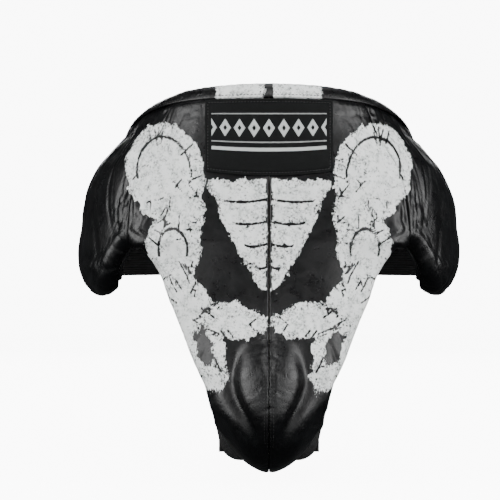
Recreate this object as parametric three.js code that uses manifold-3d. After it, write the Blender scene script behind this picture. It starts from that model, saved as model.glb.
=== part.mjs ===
// Padded groin protector: a leather-covered foam front with a hard cup in its keel, two hip
// wings, an elastic belt in two halves that close at the back, and two leg straps.
// Millimetres, +Z up. The front faces -Y and +X is the side called right. The origin is the
// middle of the waist opening, level with the top of the rim at the front.

import * as THREE from 'three';
import Module from 'manifold-3d';
import { mergeVertices } from 'three/addons/utils/BufferGeometryUtils.js';

// Driving dimensions
const frontHeight = 380; // rim to the lowest point of the keel
const hipWidth = 394; // across the outer faces of the wings
const ringCentreY = 14; // the middle of the oval that the wings and the belt follow
const creaseAngle = 45; // degrees round the oval, from the front, where a wing begins
const wingEndAngle = 118; // where a wing ends and the belt begins
const archHeight = 153; // rim to the top of a leg opening

const leatherWall = 1.6;
const frontFoam = 14;
const wingFoam = 20;
const liningWall = 1.2;
const gap = 0.3; // between two sewn or stacked layers
const cupFit = 2; // between the cup's own layers and the leather and the lining
const bindingHeight = 13; // the rolled edge, measured along the surface
const bindingStands = 1; // how far it stands proud of the layers that it wraps

const cupWall = 3;
const cupCoverFoam = 6;
const cupHalfAngle = 30; // degrees across the keel
const cupHalfLength = 78; // along the keel
const cupMiddle = 318; // rim to the middle of the cup, along the keel
const cupRimWidth = 4;
const cupRimWall = 4.4;
const domeRise = 9; // how far the cup pushes the leather out
const domeHalfWidth = 30;
const domeHalfLength = 55;

const labelWidth = 122;
const labelHeight = 70;
const labelTop = 16; // below the top of the rim
const labelWall = 1.2;
const labelSag = 5; // how far the middle of its lower edge hangs below the corners

const beltHeight = 118;
const beltTop = 66; // below the top of the rim
const beltWall = 2.5;
const beltDepth = 9; // from the outer face of a wing in to the outer face of the belt
const beltStart = 6.5; // from a wing's rear edge to the belt's hinge line
const beltForward = 130; // the belt's own oval, from its middle to the back
const beltOut = 4; // how far the belt's flat band stands outside the wings' barrel shape
const beltOverlap = 22; // how far each half runs past the middle of the back
const hookWall = 1.2;
const loopWall = 1;
const closureGap = 0.8; // between hook and loop, and between hook and loop on the leg straps
const patchLength = 62;
const patchMargin = 6; // from an elastic's edge in to a patch
const pullTabLength = 46;
const pullTabWall = 1.4;

const strapWidth = 40;
const strapWall = 2.5;
const strapAngle = 158; // degrees round the oval, where a leg strap meets the belt
const strapApart = 64; // between the middles of the two lower strap ends
const strapPatchHeight = 34;
const strapEnd = 8; // from the lower edge of the tab up to the end of a strap
const anchorHeight = 24;
const anchorWall = 1.4;
const tabTopWidth = 124;
const tabBottomWidth = 94;
const tabHeight = 68;
const tabWall = 3.5;
const tabCorner = 18;

const radians = Math.PI / 180;
const hipHalf = hipWidth / 2;
const bindingClear = bindingHeight + gap;
const strapHingeClear = 1.5; // from the belt's lower edge down to the leg strap's hinge line

// A smooth curve through (position, value) points, read by position.
function curveThrough(points) {
  const slopes = points.map((point, i) => {
    const before = points[Math.max(i - 1, 0)];
    const after = points[Math.min(i + 1, points.length - 1)];
    return (after[1] - before[1]) / (after[0] - before[0]);
  });
  return (position) => {
    if (position <= points[0][0]) return points[0][1];
    const i = points.findIndex((point) => point[0] >= position);
    if (i < 0) return points[points.length - 1][1];
    const [from, to] = [points[i - 1], points[i]];
    const span = to[0] - from[0];
    const t = (position - from[0]) / span;
    const ease = t * t * (3 - 2 * t);
    const start = t * (1 - t) * (1 - t) * slopes[i - 1] * span;
    const end = t * t * (t - 1) * slopes[i] * span;
    return from[1] + (to[1] - from[1]) * ease + start + end;
  };
}

const smooth = (from, to, value) => THREE.MathUtils.smoothstep(value, from, to);
const mix = THREE.MathUtils.lerp;

// The keel line down the middle of the front: (share of the height, distance forward).
const keelPoints = [
  [0, 119], [0.16, 124], [0.32, 129], [0.47, 132], [0.62, 138], [0.75, 151],
  [0.855, 153], [0.94, 136], [0.99, 99], [1, 56], [0.985, 12],
];
const keel = new THREE.CatmullRomCurve3(keelPoints.map(([drop, forward]) => (
  new THREE.Vector3(0, ringCentreY - forward, -drop * frontHeight)
)));
keel.arcLengthDivisions = 600;
const keelLength = keel.getLength();

// Half width of the oval at each distance down, as (share of the height, share of the half hip).
const ringHalfWidth = curveThrough([
  [0, 0.64], [0.053, 0.69], [0.113, 0.755], [0.158, 0.83], [0.203, 0.905], [0.276, 0.965],
  [0.36, 0.99], [0.453, 1], [0.513, 0.96], [0.558, 0.885],
].map(([drop, share]) => [drop * frontHeight, share * hipHalf]));

// Below the arches the front narrows to the keel: half width and depth of its edge, along the
// keel line. The first width is the oval's own at the top of the arch.
const archWidth = ringHalfWidth(archHeight) * Math.sin(creaseAngle * radians);
const below = (share) => mix(archHeight, keelLength, share);
const frontHalfWidth = curveThrough([
  [archHeight, archWidth], [below(0.02), archWidth * 0.93], [below(0.055), archWidth * 0.85],
  [below(0.1), archWidth * 0.78], [below(0.16), archWidth * 0.72], [below(0.3), archWidth * 0.57],
  [below(0.4), archWidth * 0.465], [below(0.52), archWidth * 0.415], [below(0.63), archWidth * 0.4],
  [below(0.75), archWidth * 0.37], [below(0.87), archWidth * 0.34], [below(1), archWidth * 0.3],
]);
const edgeDepth = curveThrough([
  [archHeight, 38], [below(0.16), 28], [below(0.3), 26], [below(0.4), 30], [below(0.52), 40],
  [below(0.63), 46], [below(0.75), 50], [below(0.87), 46], [below(1), 35],
]);

// The lower edge of a wing, as (degrees round the oval, distance down), and the drop of the rim.
const archDrop = (share) => archHeight * share;
const wingLowerEdge = curveThrough([
  [creaseAngle, archHeight], [48, archDrop(1.035)], [51, archDrop(1.1)], [57, archDrop(1.23)],
  [65, archDrop(1.335)], [75, archDrop(1.38)], [85, archDrop(1.375)], [100, archDrop(1.335)],
  [wingEndAngle, archDrop(1.255)],
]);
const rimDrop = curveThrough([[0, 0], [40, 2], [60, 8], [80, 20], [100, 38], [wingEndAngle, 55]]);

// The cup lifts the front over the keel.
function dome(across, down) {
  const x = across / domeHalfWidth;
  const s = (down - cupMiddle + 14) / domeHalfLength;
  return domeRise * Math.exp(-(x * x + s * s));
}

// Outer surface of the front, at degrees round the oval and a distance down the keel line.
function frontPoint(angle, down) {
  const t = THREE.MathUtils.clamp(down / keelLength, 0, 1);
  const middle = keel.getPointAt(t);
  const tangent = keel.getTangentAt(t);
  const lean = Math.atan2(tangent.y, -tangent.z) * smooth(210, 300, down);
  const forward = ringCentreY - middle.y;
  const turn = angle * radians;
  const crease = creaseAngle * radians;
  const narrowing = down > archHeight ? frontHalfWidth(down) / Math.sin(crease) : ringHalfWidth(down);
  const keelDepth = edgeDepth(down) / (1 - Math.cos(crease));
  const depth = mix(forward, keelDepth, smooth(archHeight, archHeight + 60, down));
  const x = narrowing * Math.sin(turn);
  const back = depth * (1 - Math.cos(turn)) - dome(x, down);
  return new THREE.Vector3(x, middle.y + Math.cos(lean) * back, middle.z + Math.sin(lean) * back);
}

// Outer surface of the oval of the wings and the belt.
function ringPoint(angle, down) {
  const middle = keel.getPointAt(down / keelLength);
  const forward = ringCentreY - middle.y;
  const turn = angle * radians;
  const x = ringHalfWidth(down) * Math.sin(turn);
  return new THREE.Vector3(x, ringCentreY - forward * Math.cos(turn), middle.z);
}

// Outer surface of the belt, which is straight from its top to its bottom edge.
function beltPoint(angle, down) {
  const [top, bottom] = [ringHalfWidth(beltTop), ringHalfWidth(beltTop + beltHeight)];
  const halfWidth = mix(top, bottom, (down - beltTop) / beltHeight) + beltOut;
  const turn = angle * radians;
  const y = ringCentreY - beltForward * Math.cos(turn);
  return new THREE.Vector3(halfWidth * Math.sin(turn), y, -down);
}

function normalOn(surface, angle, down) {
  const [stepAngle, stepDown] = [0.2, 0.5];
  const across = surface(angle + stepAngle, down).sub(surface(angle - stepAngle, down));
  const along = surface(angle, down + stepDown).sub(surface(angle, down - stepDown));
  return along.cross(across).normalize();
}

// A point at a depth under a surface; a negative depth stands proud of it.
function under(surface, angle, down, depth) {
  return surface(angle, down).addScaledVector(normalOn(surface, angle, down), -depth);
}

// A closed geometry with its faces pointing out.
function closed(source) {
  source.deleteAttribute('normal');
  source.deleteAttribute('uv');
  source.clearGroups();
  const geometry = mergeVertices(source, 1e-4);
  const position = geometry.attributes.position;
  const index = geometry.index.array;
  const corner = (i) => new THREE.Vector3().fromBufferAttribute(position, index[i]);
  let volume = 0;
  for (let i = 0; i < index.length; i += 3) {
    volume += corner(i).dot(corner(i + 1).cross(corner(i + 2)));
  }
  if (volume < 0) index.reverse();
  geometry.computeVertexNormals();
  return geometry;
}

function warped(geometry, place) {
  const position = geometry.attributes.position;
  for (let i = 0; i < position.count; i += 1) {
    const point = place(position.getX(i), position.getY(i), position.getZ(i));
    position.setXYZ(i, point.x, point.y, point.z);
  }
  return closed(geometry);
}

function mirrored(geometry) {
  return closed(geometry.clone().scale(-1, 1, 1));
}

const wasm = await Module();
wasm.setup();
function solid(geometry) {
  const vertProperties = new Float32Array(geometry.attributes.position.array);
  const triVerts = new Uint32Array(geometry.index.array);
  return new wasm.Manifold(new wasm.Mesh({ numProp: 3, vertProperties, triVerts }));
}
// A geometry with the space of its neighbours cut out of it.
function cut(geometry, cutters) {
  const rest = cutters.reduce((body, cutter) => body.subtract(solid(cutter)), solid(geometry));
  const mesh = rest.getMesh();
  const result = new THREE.BufferGeometry();
  result.setAttribute('position', new THREE.BufferAttribute(new Float32Array(mesh.vertProperties), 3));
  result.setIndex(Array.from(mesh.triVerts));
  return closed(result);
}

// Splits both faces of a layer along the same diagonals, so that stacked layers nest.
function nested(box) {
  const back = box.groups[5];
  const index = box.index.array;
  for (let i = back.start; i < back.start + back.count; i += 6) {
    const [a, b, d, , c] = index.slice(i, i + 6);
    index.set([a, b, c, a, c, d], i);
  }
  return box;
}

// A layer between two depths, on a grid of shares across and down that `at` turns into
// degrees and a distance down.
function layer(surface, columns, rows, at, outer, wall) {
  const box = nested(new THREE.BoxGeometry(1, 1, 1, columns, rows, 1));
  return warped(box, (x, y, z) => {
    const [angle, down] = at(x + 0.5, 0.5 - y);
    return under(surface, angle, down, outer + (0.5 - z) * wall);
  });
}

// A ring-shaped layer: `at` takes an angle round the ring and a share from inside to outside.
function ringLayer(surface, segments, at, outer, wall) {
  const square = [[1, 0], [2, 0], [2, 1], [1, 1], [1, 0]].map(([r, h]) => new THREE.Vector2(r, h));
  const lathe = new THREE.LatheGeometry(square, segments);
  return warped(lathe, (x, y, z) => {
    const [angle, down] = at(Math.atan2(z, x), Math.hypot(x, z) - 1);
    return under(surface, angle, down, outer + y * wall);
  });
}

// A rolled binding along an edge. `at` takes a share of the length and gives the point on the
// edge, the surface normal and the thickness of the layers that it closes.
function binding(steps, at, outward, clearance = 0) {
  const sides = 6;
  const bar = new THREE.CylinderGeometry(1, 1, 1, sides, steps);
  return warped(bar, (x, y, z) => {
    const share = y + 0.5;
    const { point, normal, stack } = at(share);
    const step = 0.004;
    const tangent = at(Math.min(share + step, 1)).point.sub(at(Math.max(share - step, 0)).point);
    const away = tangent.cross(normal).normalize().multiplyScalar(outward);
    const middle = point.clone().addScaledVector(normal, -stack / 2);
    middle.addScaledVector(away, -bindingHeight / 2 + x * (bindingHeight / 2 + clearance));
    return middle.addScaledVector(normal, z * (stack / 2 + bindingStands + clearance));
  });
}

const frontStack = leatherWall + 3 * gap + frontFoam + liningWall;
const wingStack = leatherWall + 3 * gap + wingFoam + liningWall;

// The edge of the leg opening, from the tail of the keel up over the arch to the wing's corner.
const edgeSteps = 150;
const archShare = 0.6;
function legEdge(share) {
  if (share < archShare) {
    const down = mix(keelLength, archHeight, Math.sin((share / archShare) * Math.PI / 2));
    return [frontPoint, creaseAngle, down];
  }
  const t = (share - archShare) / (1 - archShare);
  const angle = mix(creaseAngle, wingEndAngle, t * t * (2 - t));
  return [ringPoint, angle, wingLowerEdge(angle)];
}
const legEdgePoints = Array.from({ length: edgeSteps + 1 }, (_, i) => {
  const [surface, angle, down] = legEdge(i / edgeSteps);
  return surface(angle, down);
});
const legEdgeCurve = new THREE.CatmullRomCurve3(legEdgePoints);
legEdgeCurve.arcLengthDivisions = 600;

function offLegEdge(point) {
  return Math.min(...legEdgePoints.map((edge) => edge.distanceTo(point)));
}

// How far a layer reaches towards the leg opening, so that it stops short of the binding.
const found = new Map();
function reach(key, surfaceAt, from, to) {
  if (!found.has(key)) {
    let [inside, outside] = [from, to];
    const samples = 40;
    for (let i = 0; i <= samples; i += 1) {
      const value = mix(from, to, i / samples);
      if (offLegEdge(surfaceAt(value)) < bindingClear) {
        outside = value;
        break;
      }
      inside = value;
    }
    for (let i = 0; i < 12 && offLegEdge(surfaceAt(to)) < bindingClear; i += 1) {
      const middle = (inside + outside) / 2;
      if (offLegEdge(surfaceAt(middle)) < bindingClear) outside = middle;
      else inside = middle;
    }
    found.set(key, inside);
  }
  return found.get(key);
}
const degreesOf = (length, radius) => length / radius / radians;
const seamAngle = creaseAngle - degreesOf(gap / 2, hipHalf);
function frontReach(down) {
  return reach(`front ${down}`, (angle) => frontPoint(angle, down), 20, seamAngle);
}
function wingReach(angle) {
  const top = rimDrop(angle) + bindingHeight;
  return reach(`wing ${angle}`, (down) => ringPoint(angle, down), top, wingLowerEdge(angle));
}

const frontTop = bindingClear;
const cupTop = cupMiddle - cupHalfLength - cupRimWidth - 14;

// Rows down the front, close together round the arch, and columns round a wing.
const halfColumns = 6; // across each half of the front
const wingRows = 5;
const wingAngles = [
  creaseAngle + degreesOf(gap / 2, hipHalf), 47, 49.5, 53, 58, 65, 74, 84, 95, 106, wingEndAngle,
];
const seamRow = (share) => mix(rimDrop(creaseAngle) + bindingClear, wingReach(wingAngles[0]), share);
const seamRows = Array.from({ length: wingRows }, (_, i) => seamRow((i + 1) / wingRows));
const archRows = [-8, -3, 3, 10, 20, 34].map((step) => archHeight + step);
const keelRows = Array.from({ length: 9 }, (_, i) => mix(cupTop, keelLength, (i + 1) / 9.5));
const frontRows = [...seamRows, ...archRows, mix(archHeight + 34, cupTop, 0.5), cupTop, ...keelRows];
const rowsOf = (from, to) => {
  const list = frontRows.filter((row) => row > from + 2 && row < to - 2);
  return [from, ...list, to];
};

function frontGrid(from, to, side) {
  const rows = rowsOf(from, to);
  const at = (u, v) => {
    const down = rows[Math.round(v * (rows.length - 1))];
    const edge = frontReach(down);
    const seam = degreesOf(gap / 2, frontHalfWidth(down));
    const span = { left: [-edge, -seam], right: [seam, edge], both: [-edge, edge] }[side];
    return [mix(...span, u), down];
  };
  return [rows.length - 1, at];
}
function frontLayer(from, to, side, outer, wall) {
  const columns = side === 'both' ? 2 * halfColumns : halfColumns;
  const [rows, at] = frontGrid(from, to, side);
  const dropped = (u, v) => {
    const [angle, down] = at(u, v);
    const drop = down === from && from === frontTop ? rimDrop(Math.abs(angle)) : 0;
    return [angle, down + drop];
  };
  return layer(frontPoint, columns, rows, dropped, outer, wall);
}

function arcRadius(surface, angle, down) {
  return surface(angle + 0.5, down).distanceTo(surface(angle - 0.5, down)) / radians;
}
function wingLayer(outer, wall) {
  const last = wingAngles.length - 1;
  const at = (u, v) => {
    const angle = wingAngles[Math.round(u * last)];
    const down = mix(rimDrop(angle) + bindingClear, wingReach(angle), v);
    const inset = u > 0.99 ? degreesOf(bindingClear, arcRadius(ringPoint, angle, down)) : 0;
    return [angle - inset, down];
  };
  return layer(ringPoint, last, wingRows, at, outer, wall);
}

const foamDepth = leatherWall + 2 * gap;
const frontLiningDepth = foamDepth + frontFoam + gap;
const wingLiningDepth = foamDepth + wingFoam + gap;

// The hard cup and what surrounds it. `size` is a share of the cup's own outline.
const cupHalfWidth = frontHalfWidth(cupMiddle) * Math.sin(cupHalfAngle * radians)
  / Math.sin(creaseAngle * radians);
const grownBy = (length) => 1 + length / cupHalfWidth;
function cupAt(turn, size) {
  const angle = cupHalfAngle * size * Math.cos(turn);
  return [angle, cupMiddle + cupHalfLength * size * Math.sin(turn)];
}
function cupLayer(size, outer, wall) {
  const at = (u, v) => {
    const [x, y] = [2 * u - 1, 2 * v - 1];
    const across = size * x * Math.sqrt(1 - (y * y) / 2);
    const along = size * y * Math.sqrt(1 - (x * x) / 2);
    return cupAt(Math.atan2(along, across), Math.hypot(across, along));
  };
  return layer(frontPoint, 8, 12, at, outer, wall);
}

const cupCoverDepth = leatherWall + cupFit;
const cupShellDepth = cupCoverDepth + cupCoverFoam + gap;
const cushionDepth = cupShellDepth + cupWall + gap;
const cupRimDepth = cupShellDepth + (cupWall - cupRimWall) / 2;
function rollFoam() {
  const hole = cupLayer(grownBy(cupRimWidth + 2 * cupFit), -cupFit, frontStack + 2 * cupFit);
  return cut(frontLayer(cupTop + 2 * gap, keelLength, 'both', foamDepth, frontFoam), [hole]);
}
function cupRim() {
  const [inside, outside] = [grownBy(cupFit), grownBy(cupFit + cupRimWidth)];
  const at = (turn, share) => cupAt(turn, mix(inside, outside, share));
  return ringLayer(frontPoint, 32, at, cupRimDepth, cupRimWall);
}

// Bindings
function waistBinding(clearance) {
  const at = (share) => {
    const angle = mix(-wingEndAngle, wingEndAngle, share);
    const down = rimDrop(Math.abs(angle));
    const wing = smooth(creaseAngle - 4, creaseAngle + 8, Math.abs(angle));
    const normal = normalOn(ringPoint, angle, Math.max(down, 2));
    return { point: ringPoint(angle, down), normal, stack: mix(frontStack, wingStack, wing) };
  };
  return binding(36, at, -1, clearance);
}
function legBinding(clearance) {
  const at = (share) => {
    const place = legEdgeCurve.getUtoTmapping(share);
    const [surface, angle, down] = legEdge(place);
    const normal = normalOn(surface, angle, down);
    const wing = smooth(archShare - 0.05, archShare + 0.05, place);
    return { point: surface(angle, down), normal, stack: mix(frontStack, wingStack, wing) };
  };
  return binding(40, at, 1, clearance);
}
function rearBinding(clearance) {
  const [top, bottom] = [rimDrop(wingEndAngle), wingLowerEdge(wingEndAngle)];
  const at = (share) => {
    const down = mix(bottom - bindingClear - 2, top + bindingClear + 2, share);
    const normal = normalOn(ringPoint, wingEndAngle, down);
    return { point: ringPoint(wingEndAngle, down), normal, stack: wingStack };
  };
  return binding(5, at, 1, clearance);
}

function label() {
  const at = (u, v) => {
    const down = labelTop + labelHeight * v;
    const half = Math.asin(labelWidth / 2 / ringHalfWidth(down)) / radians;
    const sag = labelSag * (1 - (2 * u - 1) ** 2) * v;
    return [mix(-half, half, u), down + sag];
  };
  return layer(frontPoint, 8, 4, at, -2 * gap - labelWall, labelWall);
}

// Belt, right half: it lies on the oval under the wing's outer face.
const beltBottom = beltTop + beltHeight;
const beltStartAngle = wingEndAngle + degreesOf(beltStart, hipHalf);
const backRadius = hipHalf;
const overlapAngle = 180 + degreesOf(beltOverlap, backRadius);
const innerBeltDepth = beltDepth + beltWall + gap + hookWall + closureGap + loopWall + gap;
function beltPiece(fromAngle, toAngle, top, bottom, depth, wall, columns) {
  const at = (u, v) => [mix(fromAngle, toAngle, u), mix(top, bottom, v)];
  return layer(beltPoint, columns, 3, at, depth, wall);
}
function beltElastic(depth) {
  const box = new THREE.BoxGeometry(1, 1, 1, 14, 4, 1);
  return warped(box, (x, y, z) => {
    const u = x + 0.5;
    const angle = mix(beltStartAngle, overlapAngle, u);
    const sink = mix(beltDepth, depth, smooth(0, 0.6, u));
    return under(beltPoint, angle, mix(beltTop, beltBottom, 0.5 - y), sink + (0.5 - z) * beltWall);
  });
}
function beltEndPiece(length, depth, wall, margin) {
  const end = overlapAngle - degreesOf(margin, backRadius);
  const from = end - degreesOf(length, backRadius);
  return beltPiece(from, end, beltTop + margin, beltBottom - margin, depth, wall, 5);
}
function strapAnchor(depth) {
  const half = degreesOf(strapWidth / 2 + 3, backRadius);
  const bottom = beltBottom - 1;
  const at = [strapAngle - half, strapAngle + half, bottom - anchorHeight, bottom];
  return beltPiece(at[0], at[1], at[2], at[3], depth - gap - anchorWall, anchorWall, 4);
}

// Crotch tab: an upright plate behind the tail of the keel.
const tail = frontPoint(0, keelLength);
const tabFront = tail.y + gap;
const tabBottom = tail.z - 2;
const tabBack = tabFront + tabWall;
function roundedTrapezium(top, bottom, height, corner) {
  const shape = new THREE.Shape();
  shape.moveTo(-top / 2, height);
  shape.lineTo(-bottom / 2, corner);
  shape.quadraticCurveTo(-bottom / 2 + 1, 0, -bottom / 2 + corner, 0);
  shape.lineTo(bottom / 2 - corner, 0);
  shape.quadraticCurveTo(bottom / 2 - 1, 0, bottom / 2, corner);
  shape.lineTo(top / 2, height);
  shape.closePath();
  return shape;
}
function crotchTab() {
  const shape = roundedTrapezium(tabTopWidth, tabBottomWidth, tabHeight, tabCorner);
  const plate = new THREE.ExtrudeGeometry(shape, { depth: tabWall, bevelEnabled: false, curveSegments: 5 });
  plate.rotateX(Math.PI / 2);
  plate.translate(0, tabBack, tabBottom);
  return closed(plate);
}
const strapFront = tabBack + gap + loopWall + closureGap + hookWall + gap;
const patchBottom = tabBottom + strapEnd + 2;
function tabPatch(front, wall) {
  const plate = new THREE.BoxGeometry(strapWidth - 6, wall, strapPatchHeight);
  plate.translate(strapApart / 2, front + wall / 2, patchBottom + strapPatchHeight / 2);
  return closed(plate);
}

// Leg strap, right: from the belt's lower edge down to the tab, in one smooth curve.
const anchorPoint = (depth) => under(beltPoint, strapAngle, beltBottom + strapHingeClear, depth);
function legStrap(depth) {
  const top = anchorPoint(depth - gap - strapWall / 2);
  const endX = strapApart / 2;
  const endY = strapFront + strapWall / 2;
  const endZ = tabBottom + strapEnd;
  const rise = top.z - endZ;
  const run = top.y - endY;
  const between = (x, y, z) => (
    new THREE.Vector3(mix(endX, top.x, x), endY + run * y, endZ + rise * z)
  );
  const route = new THREE.CatmullRomCurve3([
    top, between(0.83, 0.89, 0.73), between(0.55, 0.66, 0.52), between(0.25, 0.38, 0.37),
    between(0.06, 0.13, 0.28), between(0, 0.012, 0.21), between(0, 0, 0.1), between(0, 0, 0),
  ]);
  const topAcross = beltPoint(strapAngle - 1, beltBottom).sub(beltPoint(strapAngle + 1, beltBottom));
  topAcross.normalize();
  const box = new THREE.BoxGeometry(1, 1, 1, 2, 26, 1);
  return warped(box, (x, y, z) => {
    const t = 0.5 - y;
    const along = route.getTangentAt(t);
    const across = topAcross.clone().lerp(new THREE.Vector3(1, 0, 0), smooth(0, 0.6, t));
    across.addScaledVector(along, -across.dot(along)).normalize();
    const face = along.clone().cross(across).normalize();
    const point = route.getPointAt(t).addScaledVector(across, x * strapWidth);
    return point.addScaledVector(face, z * strapWall);
  });
}

// Materials
const leather = new THREE.MeshStandardMaterial({ color: 0x17181a, roughness: 0.42 });
const edging = new THREE.MeshStandardMaterial({ color: 0x121315, roughness: 0.5 });
const lining = new THREE.MeshStandardMaterial({ color: 0x1d1e20, roughness: 0.85 });
const foam = new THREE.MeshStandardMaterial({ color: 0xb9b4a6, roughness: 0.9 });
const shell = new THREE.MeshStandardMaterial({ color: 0xc8cac8, roughness: 0.35 });
const rubber = new THREE.MeshStandardMaterial({ color: 0x2a2b2c, roughness: 0.8 });
const woven = new THREE.MeshStandardMaterial({ color: 0x0d0d0e, roughness: 0.8 });
const elastic = new THREE.MeshStandardMaterial({ color: 0x18191b, roughness: 0.9 });

const group = new THREE.Group();
function add(name, geometry, material) {
  const mesh = new THREE.Mesh(geometry, material);
  mesh.name = name;
  group.add(mesh);
}
function addPair(name, geometry, material) {
  add(`${name}_right`, geometry, material);
  add(`${name}_left`, mirrored(geometry), material);
}

// What lies beside a binding is cut back from it by the gap.
const edges = [waistBinding, legBinding, rearBinding].map((make) => make(2 * gap));
edges.push(mirrored(legBinding(2 * gap)));
const trimmed = (geometry) => cut(geometry, edges);

['left', 'right'].forEach((side) => {
  const half = frontLayer(frontTop, keelLength, side, 0, leatherWall);
  add(`front_leather_${side}`, trimmed(half), leather);
});
addPair('wing_leather', trimmed(wingLayer(0, leatherWall)), leather);
add('belly_foam', trimmed(frontLayer(frontTop, cupTop, 'both', foamDepth, frontFoam)), foam);
addPair('wing_foam', trimmed(wingLayer(foamDepth, wingFoam)), foam);
add('cup_roll_foam', trimmed(rollFoam()), foam);
add('cup_cover_pad', cupLayer(1, cupCoverDepth, cupCoverFoam), foam);
add('cup_shell', cupLayer(1, cupShellDepth, cupWall), shell);
add('cup_rim', cupRim(), rubber);
add('cup_cushion', cupLayer(1, cushionDepth, frontLiningDepth - cupFit - cushionDepth), foam);
add('front_lining', trimmed(frontLayer(frontTop, keelLength, 'both', frontLiningDepth, liningWall)), lining);
addPair('wing_lining', trimmed(wingLayer(wingLiningDepth, liningWall)), lining);
add('waist_binding', waistBinding(0), edging);
addPair('leg_binding', legBinding(0), edging);
addPair('rear_binding', rearBinding(0), edging);
add('label_patch', label(), woven);
add('crotch_tab', crotchTab(), leather);
addPair('tab_loop', tabPatch(tabBack + gap, loopWall), woven);

// The left half of the belt closes over the right half.
add('belt_elastic_left', mirrored(beltElastic(beltDepth)), elastic);
add('belt_elastic_right', beltElastic(innerBeltDepth), elastic);
const hookDepth = beltDepth + beltWall + gap;
add('belt_hook_patch', mirrored(beltEndPiece(patchLength, hookDepth, hookWall, patchMargin)), woven);
const loopDepth = innerBeltDepth - gap - loopWall;
add('belt_loop_patch', beltEndPiece(patchLength, loopDepth, loopWall, patchMargin), woven);
const pullDepth = beltDepth - gap - pullTabWall;
add('belt_pull_tab', mirrored(beltEndPiece(pullTabLength, pullDepth, pullTabWall, 0)), leather);
add('strap_anchor_left', mirrored(strapAnchor(beltDepth)), leather);
add('strap_anchor_right', strapAnchor(beltDepth + 1), leather);
addPair('leg_strap', legStrap(beltDepth), elastic);
addPair('strap_hook', tabPatch(strapFront - gap - hookWall, hookWall), woven);

export default group;
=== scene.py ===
"""Padded groin protector: leather skins over foam, a hard cup in the keel, hip wings, a rear
elastic belt and two leg straps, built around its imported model. Surfaces are worked out in
millimetres and meshes are made in metres. The front faces -Y and +Z is up."""

import math

import bmesh
import bpy
import numpy as np
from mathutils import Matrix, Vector


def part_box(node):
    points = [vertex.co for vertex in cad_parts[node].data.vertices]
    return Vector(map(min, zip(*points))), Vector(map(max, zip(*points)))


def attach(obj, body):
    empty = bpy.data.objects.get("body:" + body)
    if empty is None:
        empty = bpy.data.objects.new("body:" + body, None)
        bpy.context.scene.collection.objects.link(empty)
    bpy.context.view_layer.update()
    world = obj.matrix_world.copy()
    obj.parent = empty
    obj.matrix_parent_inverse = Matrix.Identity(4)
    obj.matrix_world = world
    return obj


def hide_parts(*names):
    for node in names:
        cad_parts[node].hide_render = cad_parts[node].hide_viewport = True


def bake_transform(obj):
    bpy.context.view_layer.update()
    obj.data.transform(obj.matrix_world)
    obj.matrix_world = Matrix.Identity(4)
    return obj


bl_info = {
    "name": "Padded groin protector",
    "version": (1, 0, 0),
    "blender": (4, 5, 0),
    "location": "View3D > Sidebar > Groin protector",
    "description": "Models the skins, padding, bindings, label, belt and straps of a groin protector",
    "category": "Object",
}

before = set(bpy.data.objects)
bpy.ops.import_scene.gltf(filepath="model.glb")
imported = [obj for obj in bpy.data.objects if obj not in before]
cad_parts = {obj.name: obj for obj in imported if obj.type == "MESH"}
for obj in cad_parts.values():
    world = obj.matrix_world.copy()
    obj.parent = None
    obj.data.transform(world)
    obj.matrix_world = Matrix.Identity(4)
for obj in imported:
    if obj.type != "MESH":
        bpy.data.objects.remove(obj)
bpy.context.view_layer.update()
MM = 0.001

# ---- driving sizes, millimetres
FRONT_HEIGHT = 380
HIP_HALF = 197
RING_CENTRE_Y = 14
CREASE = 45  # degrees round the oval where a wing begins
WING_END = 118
ARCH_HEIGHT = 153
FRONT_STACK = 17.7  # leather, foam and lining together
WING_STACK = 23.7
INSET = 13  # from an edge in to where the rolled edge begins
CUP_MIDDLE = 318
CUP_HALF_LENGTH = 78
CUP_HALF_ANGLE = 30
LABEL_WIDTH = 122
LABEL_HEIGHT = 70
LABEL_TOP = 16
LABEL_SAG = 5
BELT_TOP = 66
BELT_HEIGHT = 118
BELT_DEPTH = 9
BELT_WALL = 2.5
BELT_START = 6.5
BELT_FORWARD = 130
BELT_OUT = 4
BELT_OVERLAP = 22
BELT_INNER_DEPTH = 15.1
STRAP_WIDTH = 40
STRAP_WALL = 2.5
STRAP_ANGLE = 158
STRAP_APART = 64
STRAP_HINGE_CLEAR = 1.5
STRAP_END = 8
PATCH_CORNER = 6


# ---- what a user can change
def linear(hex_colour):
    """A hex sRGB colour as the linear RGBA that shaders take."""
    parts = [int(hex_colour[i: i + 2], 16) / 255 for i in (1, 3, 5)]
    return tuple(c / 12.92 if c <= 0.04045 else ((c + 0.055) / 1.055) ** 2.4 for c in parts) + (1.0,)


def length_property(name, description, millimetres):
    return bpy.props.FloatProperty(name=name, description=description, default=millimetres * MM, min=0.0,
                                   max=0.1, precision=5, unit="LENGTH", subtype="DISTANCE")


def colour_property(name, description, hex_colour):
    return bpy.props.FloatVectorProperty(name=name, description=description, default=linear(hex_colour),
                                         size=4, min=0.0, max=1.0, subtype="COLOR")


class GuardSizes(bpy.types.PropertyGroup):
    """Sizes of the sewn and padded details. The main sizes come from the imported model."""
    leather_wall: length_property("Leather wall", "Thickness of the outer leather", 1.5)
    puff: length_property("Puff", "How far the leather may lift off its foam as it settles", 1.3)
    welt_radius: length_property("Welt radius", "Radius of the piping round the leg openings", 1.25)
    thread_width: length_property("Thread width", "Width of one stitch's thread", 0.75)
    quilting_pitch: length_property("Quilting pitch", "Distance between the lining's quilted rows", 26)
    quilting_depth: length_property("Quilting depth", "How far the lining puffs between its rows", 1.9)
    rib_depth: length_property("Rib depth", "Depth of the elastic's long ribs", 0.32)
    rib_spacing: length_property("Rib spacing", "Distance between the elastic's long ribs", 5.2)


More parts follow.
